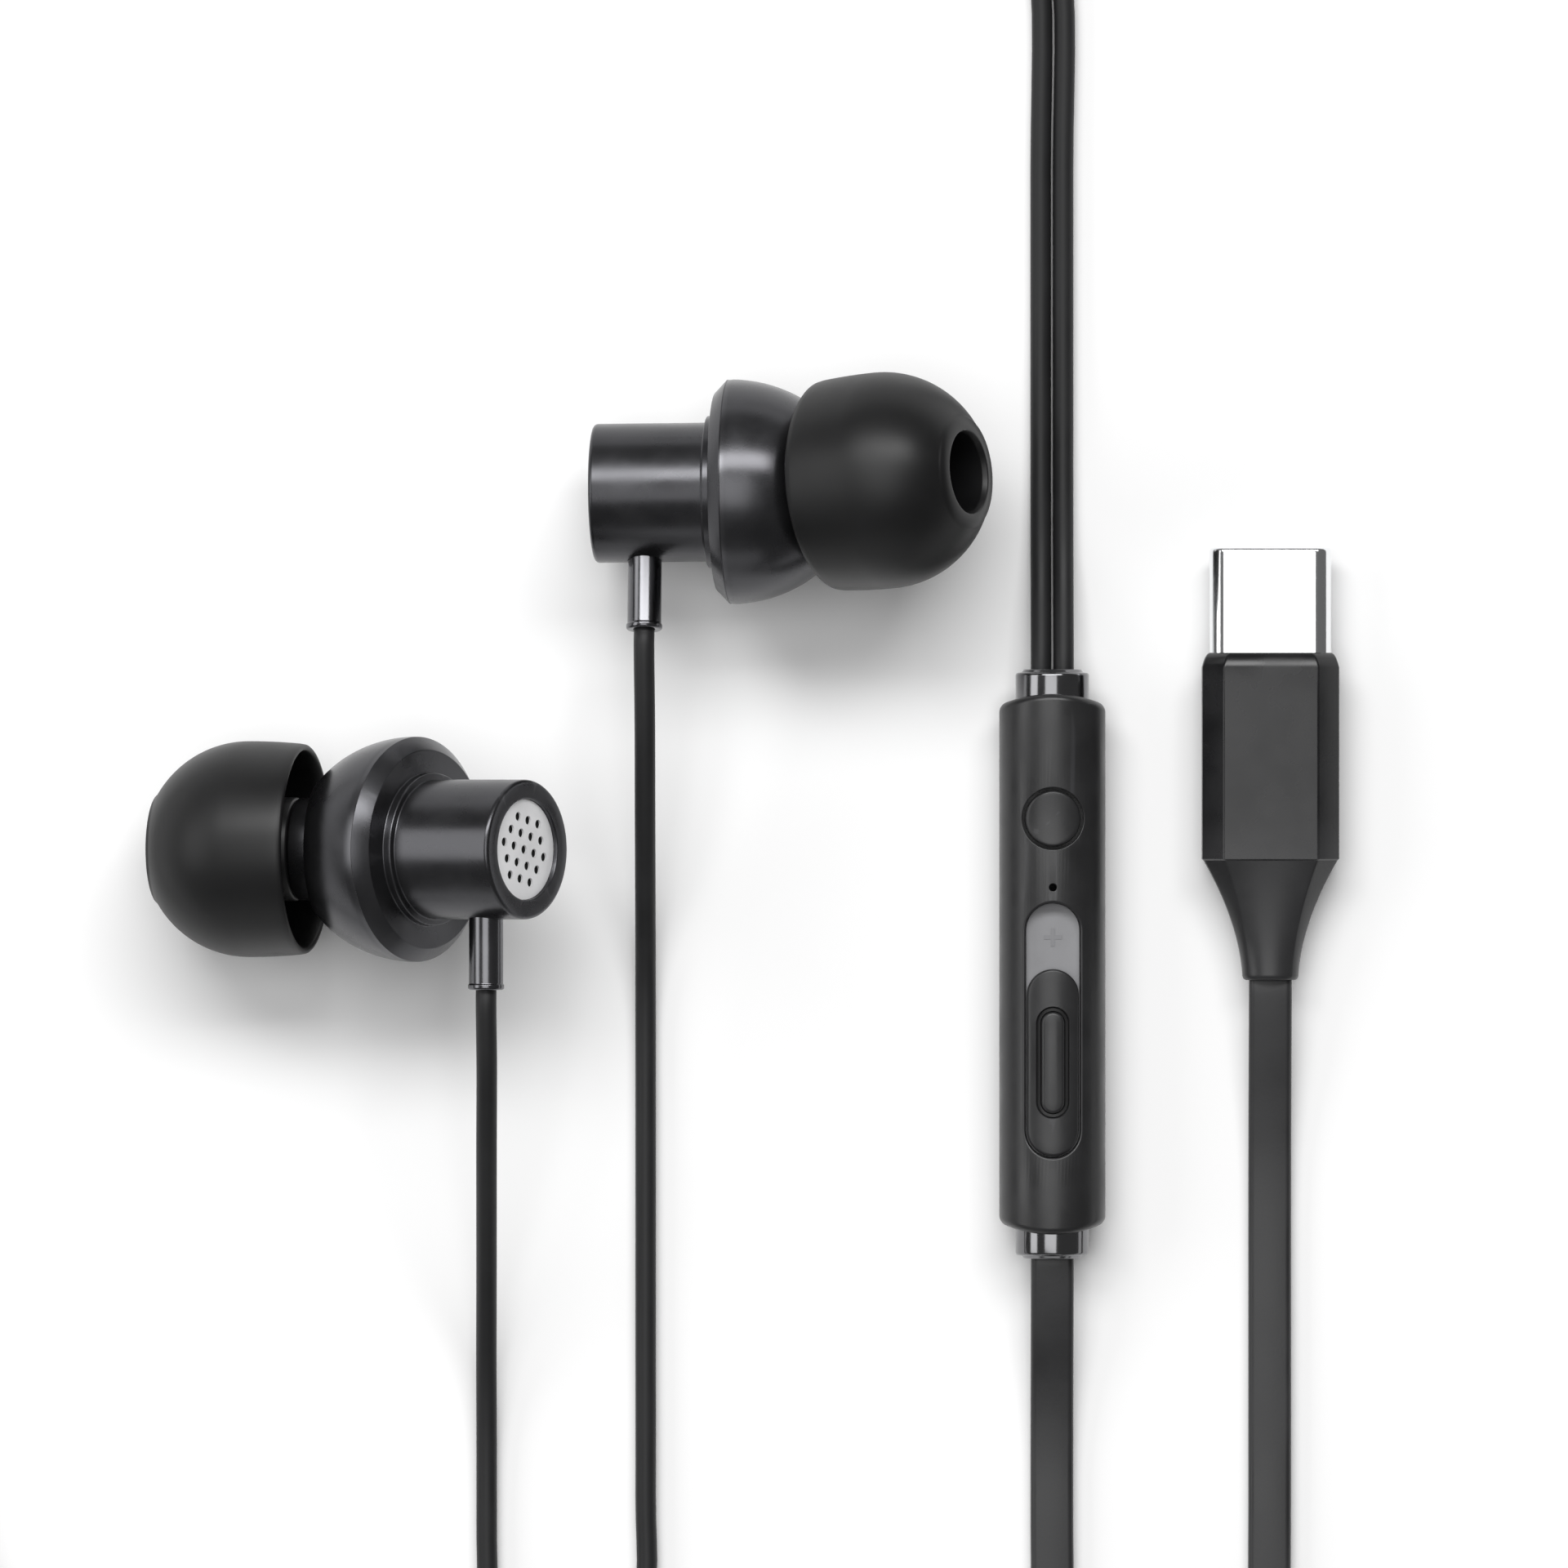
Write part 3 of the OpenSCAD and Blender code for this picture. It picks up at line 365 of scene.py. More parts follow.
finishes = {
    "black_metal": black_metal,
    "black_silicone": black_silicone,
    "black_case": black_case,
    "gloss_collar": gloss_collar,
    "cord_jacket": cord_jacket,
    "tie_strap": tie_strap,
    "bright_steel": bright_steel,
    "plug_metal": plug_metal,
    "gold_contact": gold_contact,
    "dark_mesh": dark_mesh,
    "acoustic_foam": acoustic_foam,
    "inner_plastic": inner_plastic,
    "magnet_metal": magnet_metal,
    "copper_wire": copper_wire,
    "polymer_film": polymer_film,
    "circuit_board": circuit_board,
    "grey_track": grey_track,
    "carbon_film": carbon_film,
    "boot_plastic": boot_plastic,
}


# ---------- Where the pieces are ----------
def centre_of(node):
    low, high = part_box(node)
    return (Vector(low) + Vector(high)) / 2 / MM


# Heights on an earbud's axis from its rear face, and radii about that axis
grille_depth = 0.3
grille_t = 0.14
grille_back = grille_depth + grille_t
barrel_r = 4.7
barrel_len = 8.3
flange_r = 7.6
bevel = 0.9
seam = barrel_len + bevel
pivot = seam + 3
spigot_r = flange_r - 0.83
cavity_r = barrel_r - 0.7
vent_r = 3.4
ledge_r = 2.95
stem_pos = 3.45
stem_r = 1.15
stem_reach = 4.75
stem_end = barrel_r + stem_reach
strand_r = 0.7
strand_x = 0.76


def turn_to(origin, along, up_hint):
    """The placing matrix with its Z along the given line and its Y as near as can be to up_hint."""
    z = along.normalized()
    y = (up_hint - z * up_hint.dot(z)).normalized()
    x = y.cross(z)
    return Matrix.Translation(origin) @ Matrix((x, y, z)).transposed().to_4x4()


def nozzle_axis(side):
    joint = next(j for j in frame["joints"] if j["name"] == side + "_tip_pull")
    return Vector(joint["axis"]).normalized()


def bud_place(side):
    """Where an earbud lies: Z runs forward from its rear face, and its cord leaves to -Y."""
    grille = centre_of(side + "_rear_grille")
    along = (centre_of(side + "_driver_yoke") - grille).normalized()
    across = along.cross(nozzle_axis(side))
    if across.y < 0:
        across = -across
    return turn_to(grille - along * (grille_depth + grille_t / 2), along, across)


def nozzle_place(side):
    """The frame of an earbud's nozzle, which starts at its bend and runs to its mouth."""
    bud = bud_place(side)
    return turn_to(bud @ Vector((0, 0, pivot)), nozzle_axis(side), bud.col[1].to_3d())


# ---------- Cords ----------
def smooth_path(points, steps):
    """A smooth curve through a route's points. Each is x, y, z and the roll of a flat cord in degrees."""
    points = [Vector(p) for p in points]
    out = []
    last = len(points) - 1
    for i in range(last):
        a, b = points[max(i - 1, 0)], points[i]
        c, d = points[i + 1], points[min(i + 2, last)]
        for k in range(steps):
            t = k / steps
            bend, twist = 2 * a - 5 * b + 4 * c - d, 3 * b - a - 3 * c + d
            out.append(0.5 * (2 * b + (c - a) * t + bend * t * t + twist * t ** 3))
    return out + [points[last]]


def sweep(name, path, section):
    """A tube of that section along the path."""
    loops = []
    for i, point in enumerate(path):
        ahead, behind = path[min(i + 1, len(path) - 1)], path[max(i - 1, 0)]
        along = (ahead.to_3d() - behind.to_3d()).normalized()
        level = Vector((0, 0, 1)).cross(along).normalized()
        rise = along.cross(level)
        roll = math.radians(point[3])
        across = math.cos(roll) * level + math.sin(roll) * rise
        up = along.cross(across)
        loops.append([point.to_3d() + q[0] * across + q[1] * up for q in section])
    return stack(name, loops)


path_steps = 5
oval_z = 2.975
remote_half = 18.3
collar_reach = 1.45
end_wall = 1.5
cord_inside = 0.8
straight_run = 1
main_w = 2.9
main_t = 1.3
plug_x = 14.8
plug_z = 2.5
boot_end = -1.1


def strand_start(side):
    place = bud_place(side)
    depths = (2, barrel_r + stem_reach / 2, stem_end, stem_end + 1.5)
    return [(*(place @ Vector((0, -d, stem_pos))), 0) for d in depths]


def strand_finish(x):
    lengths = (remote_half + collar_reach + straight_run, remote_half, remote_half - end_wall - cord_inside)
    return [(x, y, oval_z, 0) for y in lengths]


left_route = [
    (-38.2, -7, 13.3, 0), (-38.25, -12, 11.1, 0), (-38.3, -17, 7.9, 0), (-38.35, -22, 4.7, 0),
    (-38.4, -27, 2.2, 0), (-38.4, -32, 1, 0), (-38.4, -39, 0.76, 0), (-38.4, -51, 0.76, 0),
    (-40.9, -60.5, 0.76, 0), (-47.9, -67.4, 0.76, 0), (-57.4, -70, 0.76, 0), (-66.8, -67.4, 0.76, 0),
    (-73.8, -60.5, 0.76, 0), (-76.3, -51, 0.76, 0), (-76.3, -38, 0.76, 0), (-76.3, -12, 0.76, 0),
    (-76.3, 22, 0.76, 0), (-76.3, 47, 0.76, 0), (-76.3, 60.8, 0.76, 0), (-73.9, 69.9, 0.76, 0),
    (-67.2, 76.6, 0.76, 0), (-58, 79, 0.76, 0), (-46, 79, 0.76, 0), (-24, 79, 0.76, 0),
    (-11.8, 79, 0.76, 0), (-5.5, 77.3, 0.76, 0), (-0.9, 72.8, 0.76, 0), (0.76, 66.5, 0.76, 0),
    (0.76, 54, 0.76, 0), (0.76, 40, 0.76, 0), (0.76, 30, 1, 0), (0.76, 25.4, 2, 0),
]
right_route = [
    (-27.6, 16, 8.2, 0), (-27.6, 10, 6.2, 0), (-27.6, 4, 3.1, 0), (-27.6, -2, 1.1, 0),
    (-27.6, -10, 0.76, 0), (-27.6, -24, 0.76, 0), (-27.6, -36, 0.76, 0), (-27.7, -43, 0.76, 0),
    (-29.9, -48.8, 1.2, 0), (-34.8, -51.8, 2.2, 0), (-41, -52.2, 2.4, 0), (-47, -52, 1.2, 0),
    (-55, -52, 0.76, 0), (-65.4, -49.8, 0.76, 0), (-72.4, -43.2, 0.76, 0), (-74.78, -33, 0.76, 0),
    (-74.78, -12, 0.76, 0), (-74.78, 22, 0.76, 0), (-74.78, 47, 0.76, 0), (-74.78, 60.8, 0.76, 0),
    (-72.5, 69.2, 0.76, 0), (-66.4, 75.2, 0.76, 0), (-58, 77.5, 0.76, 0), (-44, 77.5, 0.76, 0),
    (-24, 77.5, 0.76, 0), (-11.8, 77.5, 0.76, 0), (-6.2, 76, 0.76, 0), (-2.2, 72, 0.76, 0),
    (-0.76, 66.5, 0.76, 0), (-0.76, 54, 0.76, 0), (-0.76, 40, 0.76, 0), (-0.76, 30, 1, 0),
    (-0.76, 25.4, 2, 0),
]
main_lead_route = [
    (0, -24, 2.4, 0), (0, -28.5, 1.3, 0), (0, -33, 0.72, 0), (0, -38, 0.66, 0), (0, -44, 0.66, 0),
    (-0.4, -49.5, 1, 15), (-1.7, -54.8, 1.5, 45), (-3.9, -59.8, 1.85, 78), (-7.1, -65.1, 1.95, 90),
]
main_run_route = [
    (21.9, -65.1, 4.9, 90), (18.8, -60, 4.9, 90), (17.5, -57.2, 4.4, 80), (16.5, -54.4, 3.4, 58),
    (15.6, -51.2, 2.2, 32), (15.1, -48, 1.2, 12), (14.8, -44.4, 0.7, 0), (14.8, -36, 0.66, 0),
    (14.8, -24, 0.66, 0), (14.8, -15, 0.7, 0), (14.8, -10, 1.2, 0), (14.8, -5.5, 2, 0),
]

coil_centre = (7.4, -76)
coil_outer = 18.1
coil_inner = 12.6
coil_low = 1.95
coil_high = 4.9
coil_first = 143.1
coil_last = 36.9
coil_turns = 8
climb = 60


def coil_route():
    """The turns of the main cord: in along the lower layer, a short climb, and out along the upper layer."""
    sweep_angle = coil_last - coil_first + 360 * coil_turns
    half = (sweep_angle - climb) / 2
    count = 30 * coil_turns
    points = []
    width = coil_outer - coil_inner
    for k in range(1, count):
        gone = sweep_angle * k / count
        if gone < half:
            r, z = coil_outer - width * gone / half, coil_low
        elif gone < half + climb:
            t = (gone - half) / climb
            r, z = coil_inner, coil_low + (coil_high - coil_low) * t * t * (3 - 2 * t)
        else:
            r, z = coil_inner + width * (gone - half - climb) / half, coil_high
        a = math.radians(coil_first + gone)
        x, y = coil_centre[0] + r * math.cos(a), coil_centre[1] + r * math.sin(a)
        points.append(Vector((x, y, z, 90)))
    return points


def ring_of(radius, count):
    turns = [math.tau * i / count for i in range(count)]
    return [(radius * math.cos(a), radius * math.sin(a)) for a in turns]


def oblong(width, height, radius):
    w, h = width / 2, height / 2
    return rounded([(w, -h), (w, h), (-w, h), (-w, -h)], radius)


round_section = ring_of(strand_r, 20)
flat_section = oblong(main_w, main_t, 0.42)


def make_strand(side, route, x):
    path = smooth_path(strand_start(side) + route + strand_finish(x), path_steps)
    cord = settle(sweep(side + "_earbud_cord", path, round_section), strand_jacket, side + "_cord")


def make_main_cord():
    collar_mouth = remote_half + collar_reach
    starts = (remote_half - end_wall - cord_inside, remote_half, collar_mouth, collar_mouth + straight_run)
    lead = smooth_path([(0, -y, oval_z, 0) for y in starts] + main_lead_route, path_steps)
    end = [(plug_x, boot_end - d, plug_z, 0) for d in (straight_run, 0)]
    run = smooth_path(main_run_route + end, path_steps)
    path = lead + coil_route() + run
    cord = sweep("main_cord", path, flat_section)
    settle(cord, cord_jacket, "main_cord_lead", "main_cord_coil", "main_cord_run")
    return cord, path


make_strand("left", left_route, strand_x)
make_strand("right", right_route, -strand_x)
main_cord, main_path = make_main_cord()


# ---------- Earbuds ----------
def make_rear_housing(side):
    place = bud_place(side)
    root_r, root_z = barrel_r + 0.45, barrel_len - 0.6
    spigot_end, spigot_bore = seam + 1.05, spigot_r - 0.5
    ledge_end = grille_back + 0.8
    profile = rounded([
        (vent_r, 0, 0.12), (barrel_r, 0, 0.3), (barrel_r, root_z, 0.1),
        (root_r, root_z, 0.12), (root_r, barrel_len, 0.1),
        (flange_r - bevel, barrel_len, 0.12), (flange_r, seam - 0.05, 0.1), (flange_r - 0.04, seam, 0),
        (spigot_r, seam, 0), (spigot_r, spigot_end, 0), (spigot_bore, spigot_end, 0), (spigot_bore, seam, 0),
        (cavity_r, seam, 0), (cavity_r, ledge_end, 0), (ledge_r, ledge_end, 0),
        (ledge_r, grille_back, 0), (vent_r, grille_back, 0),
    ], 0)
    housing = lathe(side + "_rear_shell", profile, place)
    hole = place @ Matrix.Translation((0, 0, stem_pos)) @ Matrix.Rotation(math.pi / 2, 4, "X")
    hole_r = stem_r + 0.02
    drill = lathe("drill", [(0, 0), (hole_r, 0), (hole_r, drill_len), (0, drill_len)], hole, 64)
    settle(combine(housing, drill), black_metal, side + "_rear_housing")


dome_len = 8.7
hollow_len = 7.9
dome_cut = 4.1
neck_r = 3.45
neck_end = dome_cut + 1.6
tube_r = 2.35
tube_end = dome_cut + 5.9
barb_r = 2.62
bore_r = 1.7
drill_len = 12


def egg(r, length, steps=40):
    """Half an ellipse from the seam forward, closed along the axis, as an outline to turn."""
    turns = [math.pi / 2 * k / steps for k in range(steps)]
    arc = [(r * math.cos(a), seam + length * math.sin(a)) for a in turns]
    return [(0, seam)] + arc + [(0, seam + length)]


def cut_flat(obj, point, normal):
    """Cuts off what is beyond a plane, and closes the cut."""
    bm = bmesh.new()
    bm.from_mesh(obj.data)
    everything = bm.verts[:] + bm.edges[:] + bm.faces[:]
    bmesh.ops.bisect_plane(bm, geom=everything, plane_co=point * MM, plane_no=normal, clear_outer=True)
    rim = [e for e in bm.edges if e.is_boundary]
    bmesh.ops.contextual_create(bm, geom=rim)
    bmesh.ops.recalc_face_normals(bm, faces=bm.faces)
    bm.to_mesh(obj.data)
    bm.free()


def make_front_housing(side):
    bud, nozzle = bud_place(side), nozzle_place(side)
    outer = egg(flange_r, dome_len)
    outer[1] = (flange_r - 0.04, seam + 0.01)
    shell = lathe(side + "_front_shell", outer, bud)
    cut_flat(shell, nozzle @ Vector((0, 0, dome_cut)), nozzle.col[2].to_3d())
    tube = rounded([
        (0, dome_cut - 1, 0), (neck_r, dome_cut - 1, 0), (neck_r, neck_end, 0.15), (tube_r, neck_end, 0.1),
        (tube_r, tube_end - 0.95, 0), (barb_r, tube_end - 0.95, 0.06), (tube_r - 0.05, tube_end, 0.1),
        (0, tube_end, 0),
    ], 0)
    combine(shell, lathe("tube", tube, nozzle), "UNION")
    combine(shell, lathe("hollow", egg(spigot_r - 0.09, hollow_len, 24), bud, 96))
    seat_r, seat_end = spigot_r + 0.03, seam + 1.08
    combine(shell, lathe("seat", [(0, seam - 1), (seat_r, seam - 1), (seat_r, seat_end), (0, seat_end)], bud))
    mouth, mouth_r = tube_end - 0.35, bore_r + 0.25
    bore = [(0, 0), (bore_r, 0), (bore_r, mouth), (mouth_r, mouth), (mouth_r, drill_len), (0, drill_len)]
    combine(shell, lathe("bore", bore, nozzle, 64))
    settle(shell, black_metal, side + "_front_housing", sharp_angle=28)


def make_stem(side):
    """The cord's metal tube: a flange inside the barrel, a plain tube and a lip at its mouth."""
    place = bud_place(side) @ Matrix.Translation((0, 0, stem_pos)) @ Matrix.Rotation(math.pi / 2, 4, "X")
    inner = strand_r + 0.03
    flange_h = cavity_r - 0.3
    profile = rounded([
        (inner, flange_h - 0.4, 0), (stem_r + 0.35, flange_h - 0.4, 0), (stem_r + 0.35, flange_h - 0.1, 0),
        (stem_r, flange_h - 0.1, 0), (stem_r, stem_end - 0.42, 0.12), (stem_r + 0.07, stem_end - 0.34, 0.08),
        (stem_r + 0.07, stem_end, 0.16), (inner, stem_end, 0.1),
    ], 0)
    settle(lathe(side + "_stem_tube", profile, place, 64), stem_metal, side + "_stem")


tip_r = 7.3
tip_len = 10.4
tip_belly = 4
tip_nose = (tip_len - tip_belly) * 1.12
tip_wall = 0.65
tip_flare = 0.2
tip_bore = 2.7
tip_core = 3.5
core_inset = 1.35
rim_gap = {"left": 0.85, "right": 0.05}


def tip_outline(core_start):
    """The ear tip's section: outside of the dome, mouth, core tube, inside of the dome and its thin brim."""
    lip = math.asin((tip_len - 0.3 - tip_belly) / tip_nose)

    def skirt(r, s):
        return r - tip_flare * ((tip_belly - s) / tip_belly) ** 2

    def dome(r, nose, angle):
        return r * math.cos(angle), tip_belly + nose * math.sin(angle)

    inner_r, inner_nose = tip_r - tip_wall, tip_nose - 1.15
    join = math.acos(tip_core / inner_r)
    mouth_end = 5
    outside = [(skirt(tip_r, tip_belly * k / 8), tip_belly * k / 8) for k in range(1, 8)]
    outside += [dome(tip_r, tip_nose, lip * k / 36) for k in range(37)]
    # The last two points only lead the outline on, and are dropped
    mouth = rounded([
        (tip_bore + 1.02, tip_len - 0.14, 0), (tip_bore + 0.14, tip_len - 0.02, 0.12),
        (tip_bore, tip_len - 0.4, 0.2), (tip_bore, mouth_end, 0), (tip_r, mouth_end, 0),
    ], 0)[:-2]
    core = [
        (tip_bore, core_start + 0.15), (tip_bore + 0.12, core_start),
        (tip_core - 0.12, core_start), (tip_core, core_start + 0.15),
    ]
    inside = [dome(inner_r, inner_nose, join * k / 24) for k in range(24, -1, -1)]
    inside += [(skirt(inner_r + 0.12, tip_belly * k / 4), tip_belly * k / 4) for k in (3, 2, 1)]
    brim = [
        (inner_r, 0.18), (inner_r + 0.06, 0.05), (inner_r + 0.2, 0.0),
        (tip_r - 0.32, 0.03), (tip_r - 0.22, 0.14),
    ]
    return outside + mouth + core + inside + brim


def make_ear_tip(side):
    place = nozzle_place(side) @ Matrix.Translation((0, 0, neck_end - core_inset + rim_gap[side]))
    tip = lathe(side + "_silicone_tip", tip_outline(core_inset - rim_gap[side] + 0.05), place)
    settle(tip, black_silicone, side + "_ear_tip", body=side + "_tip", sharp_angle=60)


for bud_side in ("left", "right"):
    make_rear_housing(bud_side)
    make_front_housing(bud_side)
    make_stem(bud_side)
    make_ear_tip(bud_side)


# ---------- Remote ----------
remote_a = 3.6
remote_b = 3.225
remote_wall = 0.8
remote_top = oval_z + remote_b
end_rise = 0.75
button_y = remote_half - 8.44
button_r = 1.88
mic_y = button_y - 4.66
window_w = 3.75
window_len = 17.25
window_y = mic_y - 1.06 - window_len / 2
run_gap = 0.12


def top_of_remote(x):
    """Height of the remote's curved front over x."""
    return oval_z + remote_b * math.sqrt(max(1 - (x / remote_a) ** 2, 0))


def bow(x):
    """How far the bowed end of the remote is from its middle, over x."""
    radius = (remote_a ** 2 + end_rise ** 2) / (2 * end_rise)
    return remote_half - radius + math.sqrt(radius ** 2 - min(abs(x), remote_a) ** 2)


def half_shell(name, upper):
    """One half of the remote's case, solid, from the seam to its outside, with softly rounded ends."""
    edge = 0.45
    arc = 48

    def section(inset):
        sign = 1 if upper else -1
        points = []
        for k in range(arc + 1):
            t = math.pi * k / arc
            x, z = (remote_a - inset) * math.cos(t), sign * (remote_b - inset) * math.sin(t)
            points.append((x, max(z, -oval_z + inset * 0.5)))
        return points

    turns = [math.pi / 2 * k / 6 for k in range(7)]
    ends = [(edge * (1 - math.sin(a)), edge * (1 - math.cos(a))) for a in turns]
    loops = []
    for inset, setback in ends:
        loops.append([(x, -bow(x) + setback, oval_z + z) for x, z in section(inset)])
    for share in (-0.9, -0.45, 0, 0.45, 0.9):
        loops.append([(x, share * (bow(x) - edge), oval_z + z) for x, z in section(0)])
    for inset, setback in reversed(ends):
        loops.append([(x, bow(x) - setback, oval_z + z) for x, z in section(inset)])
    return stack(name, loops)


def remote_hollow():
    """A bar of the remote's oval, smaller by the wall, and as long as its inside."""
    a, b = remote_a - remote_wall, remote_b - remote_wall
    half = remote_half - end_wall
    turns = [math.tau * k / 96 for k in range(96)]
    loop = [(a * math.cos(t), b * math.sin(t)) for t in turns]
    return stack("hollow", [[(x, y, oval_z + z) for x, z in loop] for y in (-half, half)])


def flared_cutter(outline_at, radius=0.18):
    """A cutter for an opening in the curved front, with a rim that rounds over the edge of the opening."""
    def loop(inset, drop=None, z=None):
        return [(x, y, z if z is not None else top_of_remote(x) - drop) for x, y in outline_at(inset)]

    loops = [loop(0, z=oval_z + 0.4), loop(0, drop=radius)]
    for k in range(1, 6):
        a = math.pi / 2 * k / 5
        loops.append(loop(-radius * (1 - math.cos(a)), drop=radius * (1 - math.sin(a))))
    loops.append(loop(-radius - 0.02, drop=-0.3))
    loops.append(loop(-radius - 0.02, z=remote_top + 1))
    return stack("cutter", loops)


def window_outline(inset):
    return [(x, y + window_y) for x, y in slot_outline(window_w, window_len, inset, 24)]


def circle_outline(radius, y):
    return lambda inset: [(px, y + py) for px, py in ring_of(radius - inset, 72)]


def drill_ends(shell):
    """The holes for the collars. The drill is turned by half a facet, so that no corner lies on the seam."""
    half_facet = Matrix.Rotation(math.pi / 96, 4, "Z")
    for end in (1, -1):
        upright = Matrix.Rotation(-end * math.pi / 2, 4, "X")
        place = Matrix.Translation((0, end * remote_half, oval_z)) @ upright @ half_facet
        profile = [(0, -3), (2.12, -3), (2.12, -0.5), (2.52, -0.5), (2.52, 2), (0, 2)]
        combine(shell, lathe("drill", profile, place, 96))


def make_remote_shells():
    front = half_shell("remote_front", True)
    combine(front, remote_hollow())
    drill_ends(front)
    combine(front, flared_cutter(window_outline))
    combine(front, flared_cutter(circle_outline(button_r + 0.22, button_y), 0.08))
    combine(front, flared_cutter(circle_outline(0.25, mic_y), 0.06))
    settle(front, black_case, "remote_front_shell", sharp_angle=30)

    back = half_shell("remote_back", False)
    combine(back, remote_hollow())
    drill_ends(back)
    settle(back, black_case, "remote_back_shell", sharp_angle=30)


def key_sides(outline_at, base, radius):
    """A key's straight sides up from base and the rounded edge that meets the curved front."""
    def at_depth(inset, depth):
        return [(x, y, top_of_remote(x) - depth) for x, y in outline_at(inset)]

    loops = [[(x, y, base) for x, y in outline_at(0)], at_depth(0, radius)]
    for k in range(1, 6):
        a = math.pi / 2 * k / 5
        loops.append(at_depth(radius * (1 - math.cos(a)), radius * (1 - math.sin(a))))
    return loops


def make_button():
    """The round button: a foot that the case holds in, and a cap with a slightly dished top."""
    edge, dish = 0.16, 0.07
    foot_r = 2.42
    foot = circle_outline(foot_r, button_y)(0)
    outline = circle_outline(button_r, button_y)
    foot_low, foot_high = oval_z + 0.55, oval_z + 1.0
    loops = [[(x, y, z) for x, y in foot] for z in (foot_low, foot_high)]
    loops += key_sides(outline, foot_high, edge)
    for k in range(1, 12):
        share = k / 12
        sunk = dish * math.sin(math.pi / 2 * share)
        inner = outline(edge + (button_r - edge - 0.02) * share)
        loops.append([(x, y, top_of_remote(x) - sunk) for x, y in inner])
    settle(stack("button_cap", loops), black_case, "main_button", body="button")


slider_travel = 4.35
knob_w = window_w - 2 * run_gap
knob_len = window_len - slider_travel - 2 * run_gap
knob_y = window_y - slider_travel / 2
track_top = remote_top - 1.2
pill_w = 1.56
pill_len = knob_len - 5.8
groove_w = 0.33
groove_depth = 0.75


def make_knob():
    """The volume knob: a long round-ended key, with a groove that leaves a raised pill in its middle."""
    edge = 0.18

    def outline(inset):
        return [(x, y + knob_y) for x, y in slot_outline(knob_w, knob_len, inset, 24)]

    def pill(grow, height):
        points = slot_outline(pill_w, pill_len, -grow, 24)
        return [(x, y + knob_y, top_of_remote(x) + height) for x, y in points]

    loops = key_sides(outline, track_top + 0.06, edge)
    for k in (1, 2, 3):
        share = k / 4
        pairs = zip(outline(edge), pill(groove_w, 0))
        flat = [(a[0] + (b[0] - a[0]) * share, a[1] + (b[1] - a[1]) * share) for a, b in pairs]
        loops.append([(x, y, top_of_remote(x)) for x, y in flat])
    for grow, height in (
        (groove_w + 0.05, 0), (groove_w, -0.05), (groove_w - 0.02, 0.08 - groove_depth),
        (groove_w - 0.07, -groove_depth), (0.07, -groove_depth), (0.02, 0.08 - groove_depth), (0, 0),
    ):
        loops.append(pill(grow, height))
    for k in range(1, 6):
        a = math.pi / 2 * k / 5
        loops.append(pill(-0.22 * (1 - math.cos(a)), 0.16 * math.sin(a)))
    loops += [pill(-0.45, 0.18), pill(-0.6, 0.19)]
    knob = stack("knob_cap", loops)
    foot = [(-0.4, knob_y - 1), (0.4, knob_y - 1), (0.4, knob_y + 1), (-0.4, knob_y + 1)]
    post = stack("post", [[(x, y, z) for x, y in foot] for z in (remote_top - 2.7, track_top + 0.4)])
    settle(combine(knob, post, "UNION"), black_case, "volume_knob", body="volume_slider")


def make_plus_mark():
    """The small raised plus at the louder end of the window's floor."""
    reach, half, height = 0.62, 0.14, 0.035
    mark_y = knob_y + knob_len / 2 + 2.15
    plus = [
        (half, half), (half, reach), (-half, reach), (-half, half), (-reach, half), (-reach, -half),
        (-half, -half), (-half, -reach), (half, -reach), (half, -half), (reach, -half), (reach, half),
    ]
    loops = [[(x, mark_y + y, z) for x, y in plus] for z in (track_top - 0.02, track_top + height)]
    settle(stack("plus_mark", loops), grey_mark, slot="grey_track")


def make_collars():
    """The glossy rings at the remote's ends, each with a slot for its cords and a small inner sleeve."""
    seat, tip = remote_half - 0.5, remote_half + collar_reach
    ring_r, neck_ring_r, flange_ring_r = 2.5, 2.1, 2.3
    flange_start, flange_end = remote_half - 2, remote_half - 1.54
    profile = rounded([
        (0, flange_start, 0), (flange_ring_r, flange_start, 0), (flange_ring_r, flange_end, 0),
        (neck_ring_r, flange_end, 0), (neck_ring_r, seat + 0.02, 0),
        (ring_r, seat + 0.02, 0), (ring_r, tip, 0.35), (neck_ring_r, tip, 0.1), (1.95, tip + 0.22, 0.12),
        (0, tip + 0.22, 0),
    ], 0)
    hole_start, hole_end = 12, 30
    pair_w = 2 * (strand_x + strand_r) + 0.04
    ends = ((1, "upper_collar", pair_w, 2 * strand_r), (-1, "lower_collar", main_w, main_t))
    for end, node, wide, thick in ends:
        place = Matrix.Translation((0, 0, oval_z)) @ Matrix.Rotation(-end * math.pi / 2, 4, "X")
        hole = [(x, z) for z, x in slot_outline(thick + 0.06, wide + 0.06)]
        loops = [[(x, end * y, oval_z + z) for x, z in hole] for y in (hole_start, hole_end)]
        bar = stack("hole", loops)
        settle(combine(lathe(node + "_ring", profile, place, 96), bar), gloss_collar, node)


make_remote_shells()
make_button()
make_knob()
make_plus_mark()
make_collars()


# ---------- Plug ----------
body_front = 21.1
body_len = 14.1
body_back = body_front - body_len
body_w = 9.3
body_t = 5.0
shell_w = 8.25
shell_t = 2.4
shell_front = body_front + 7.1
shell_back = body_front - 4
boot_w = 3.8


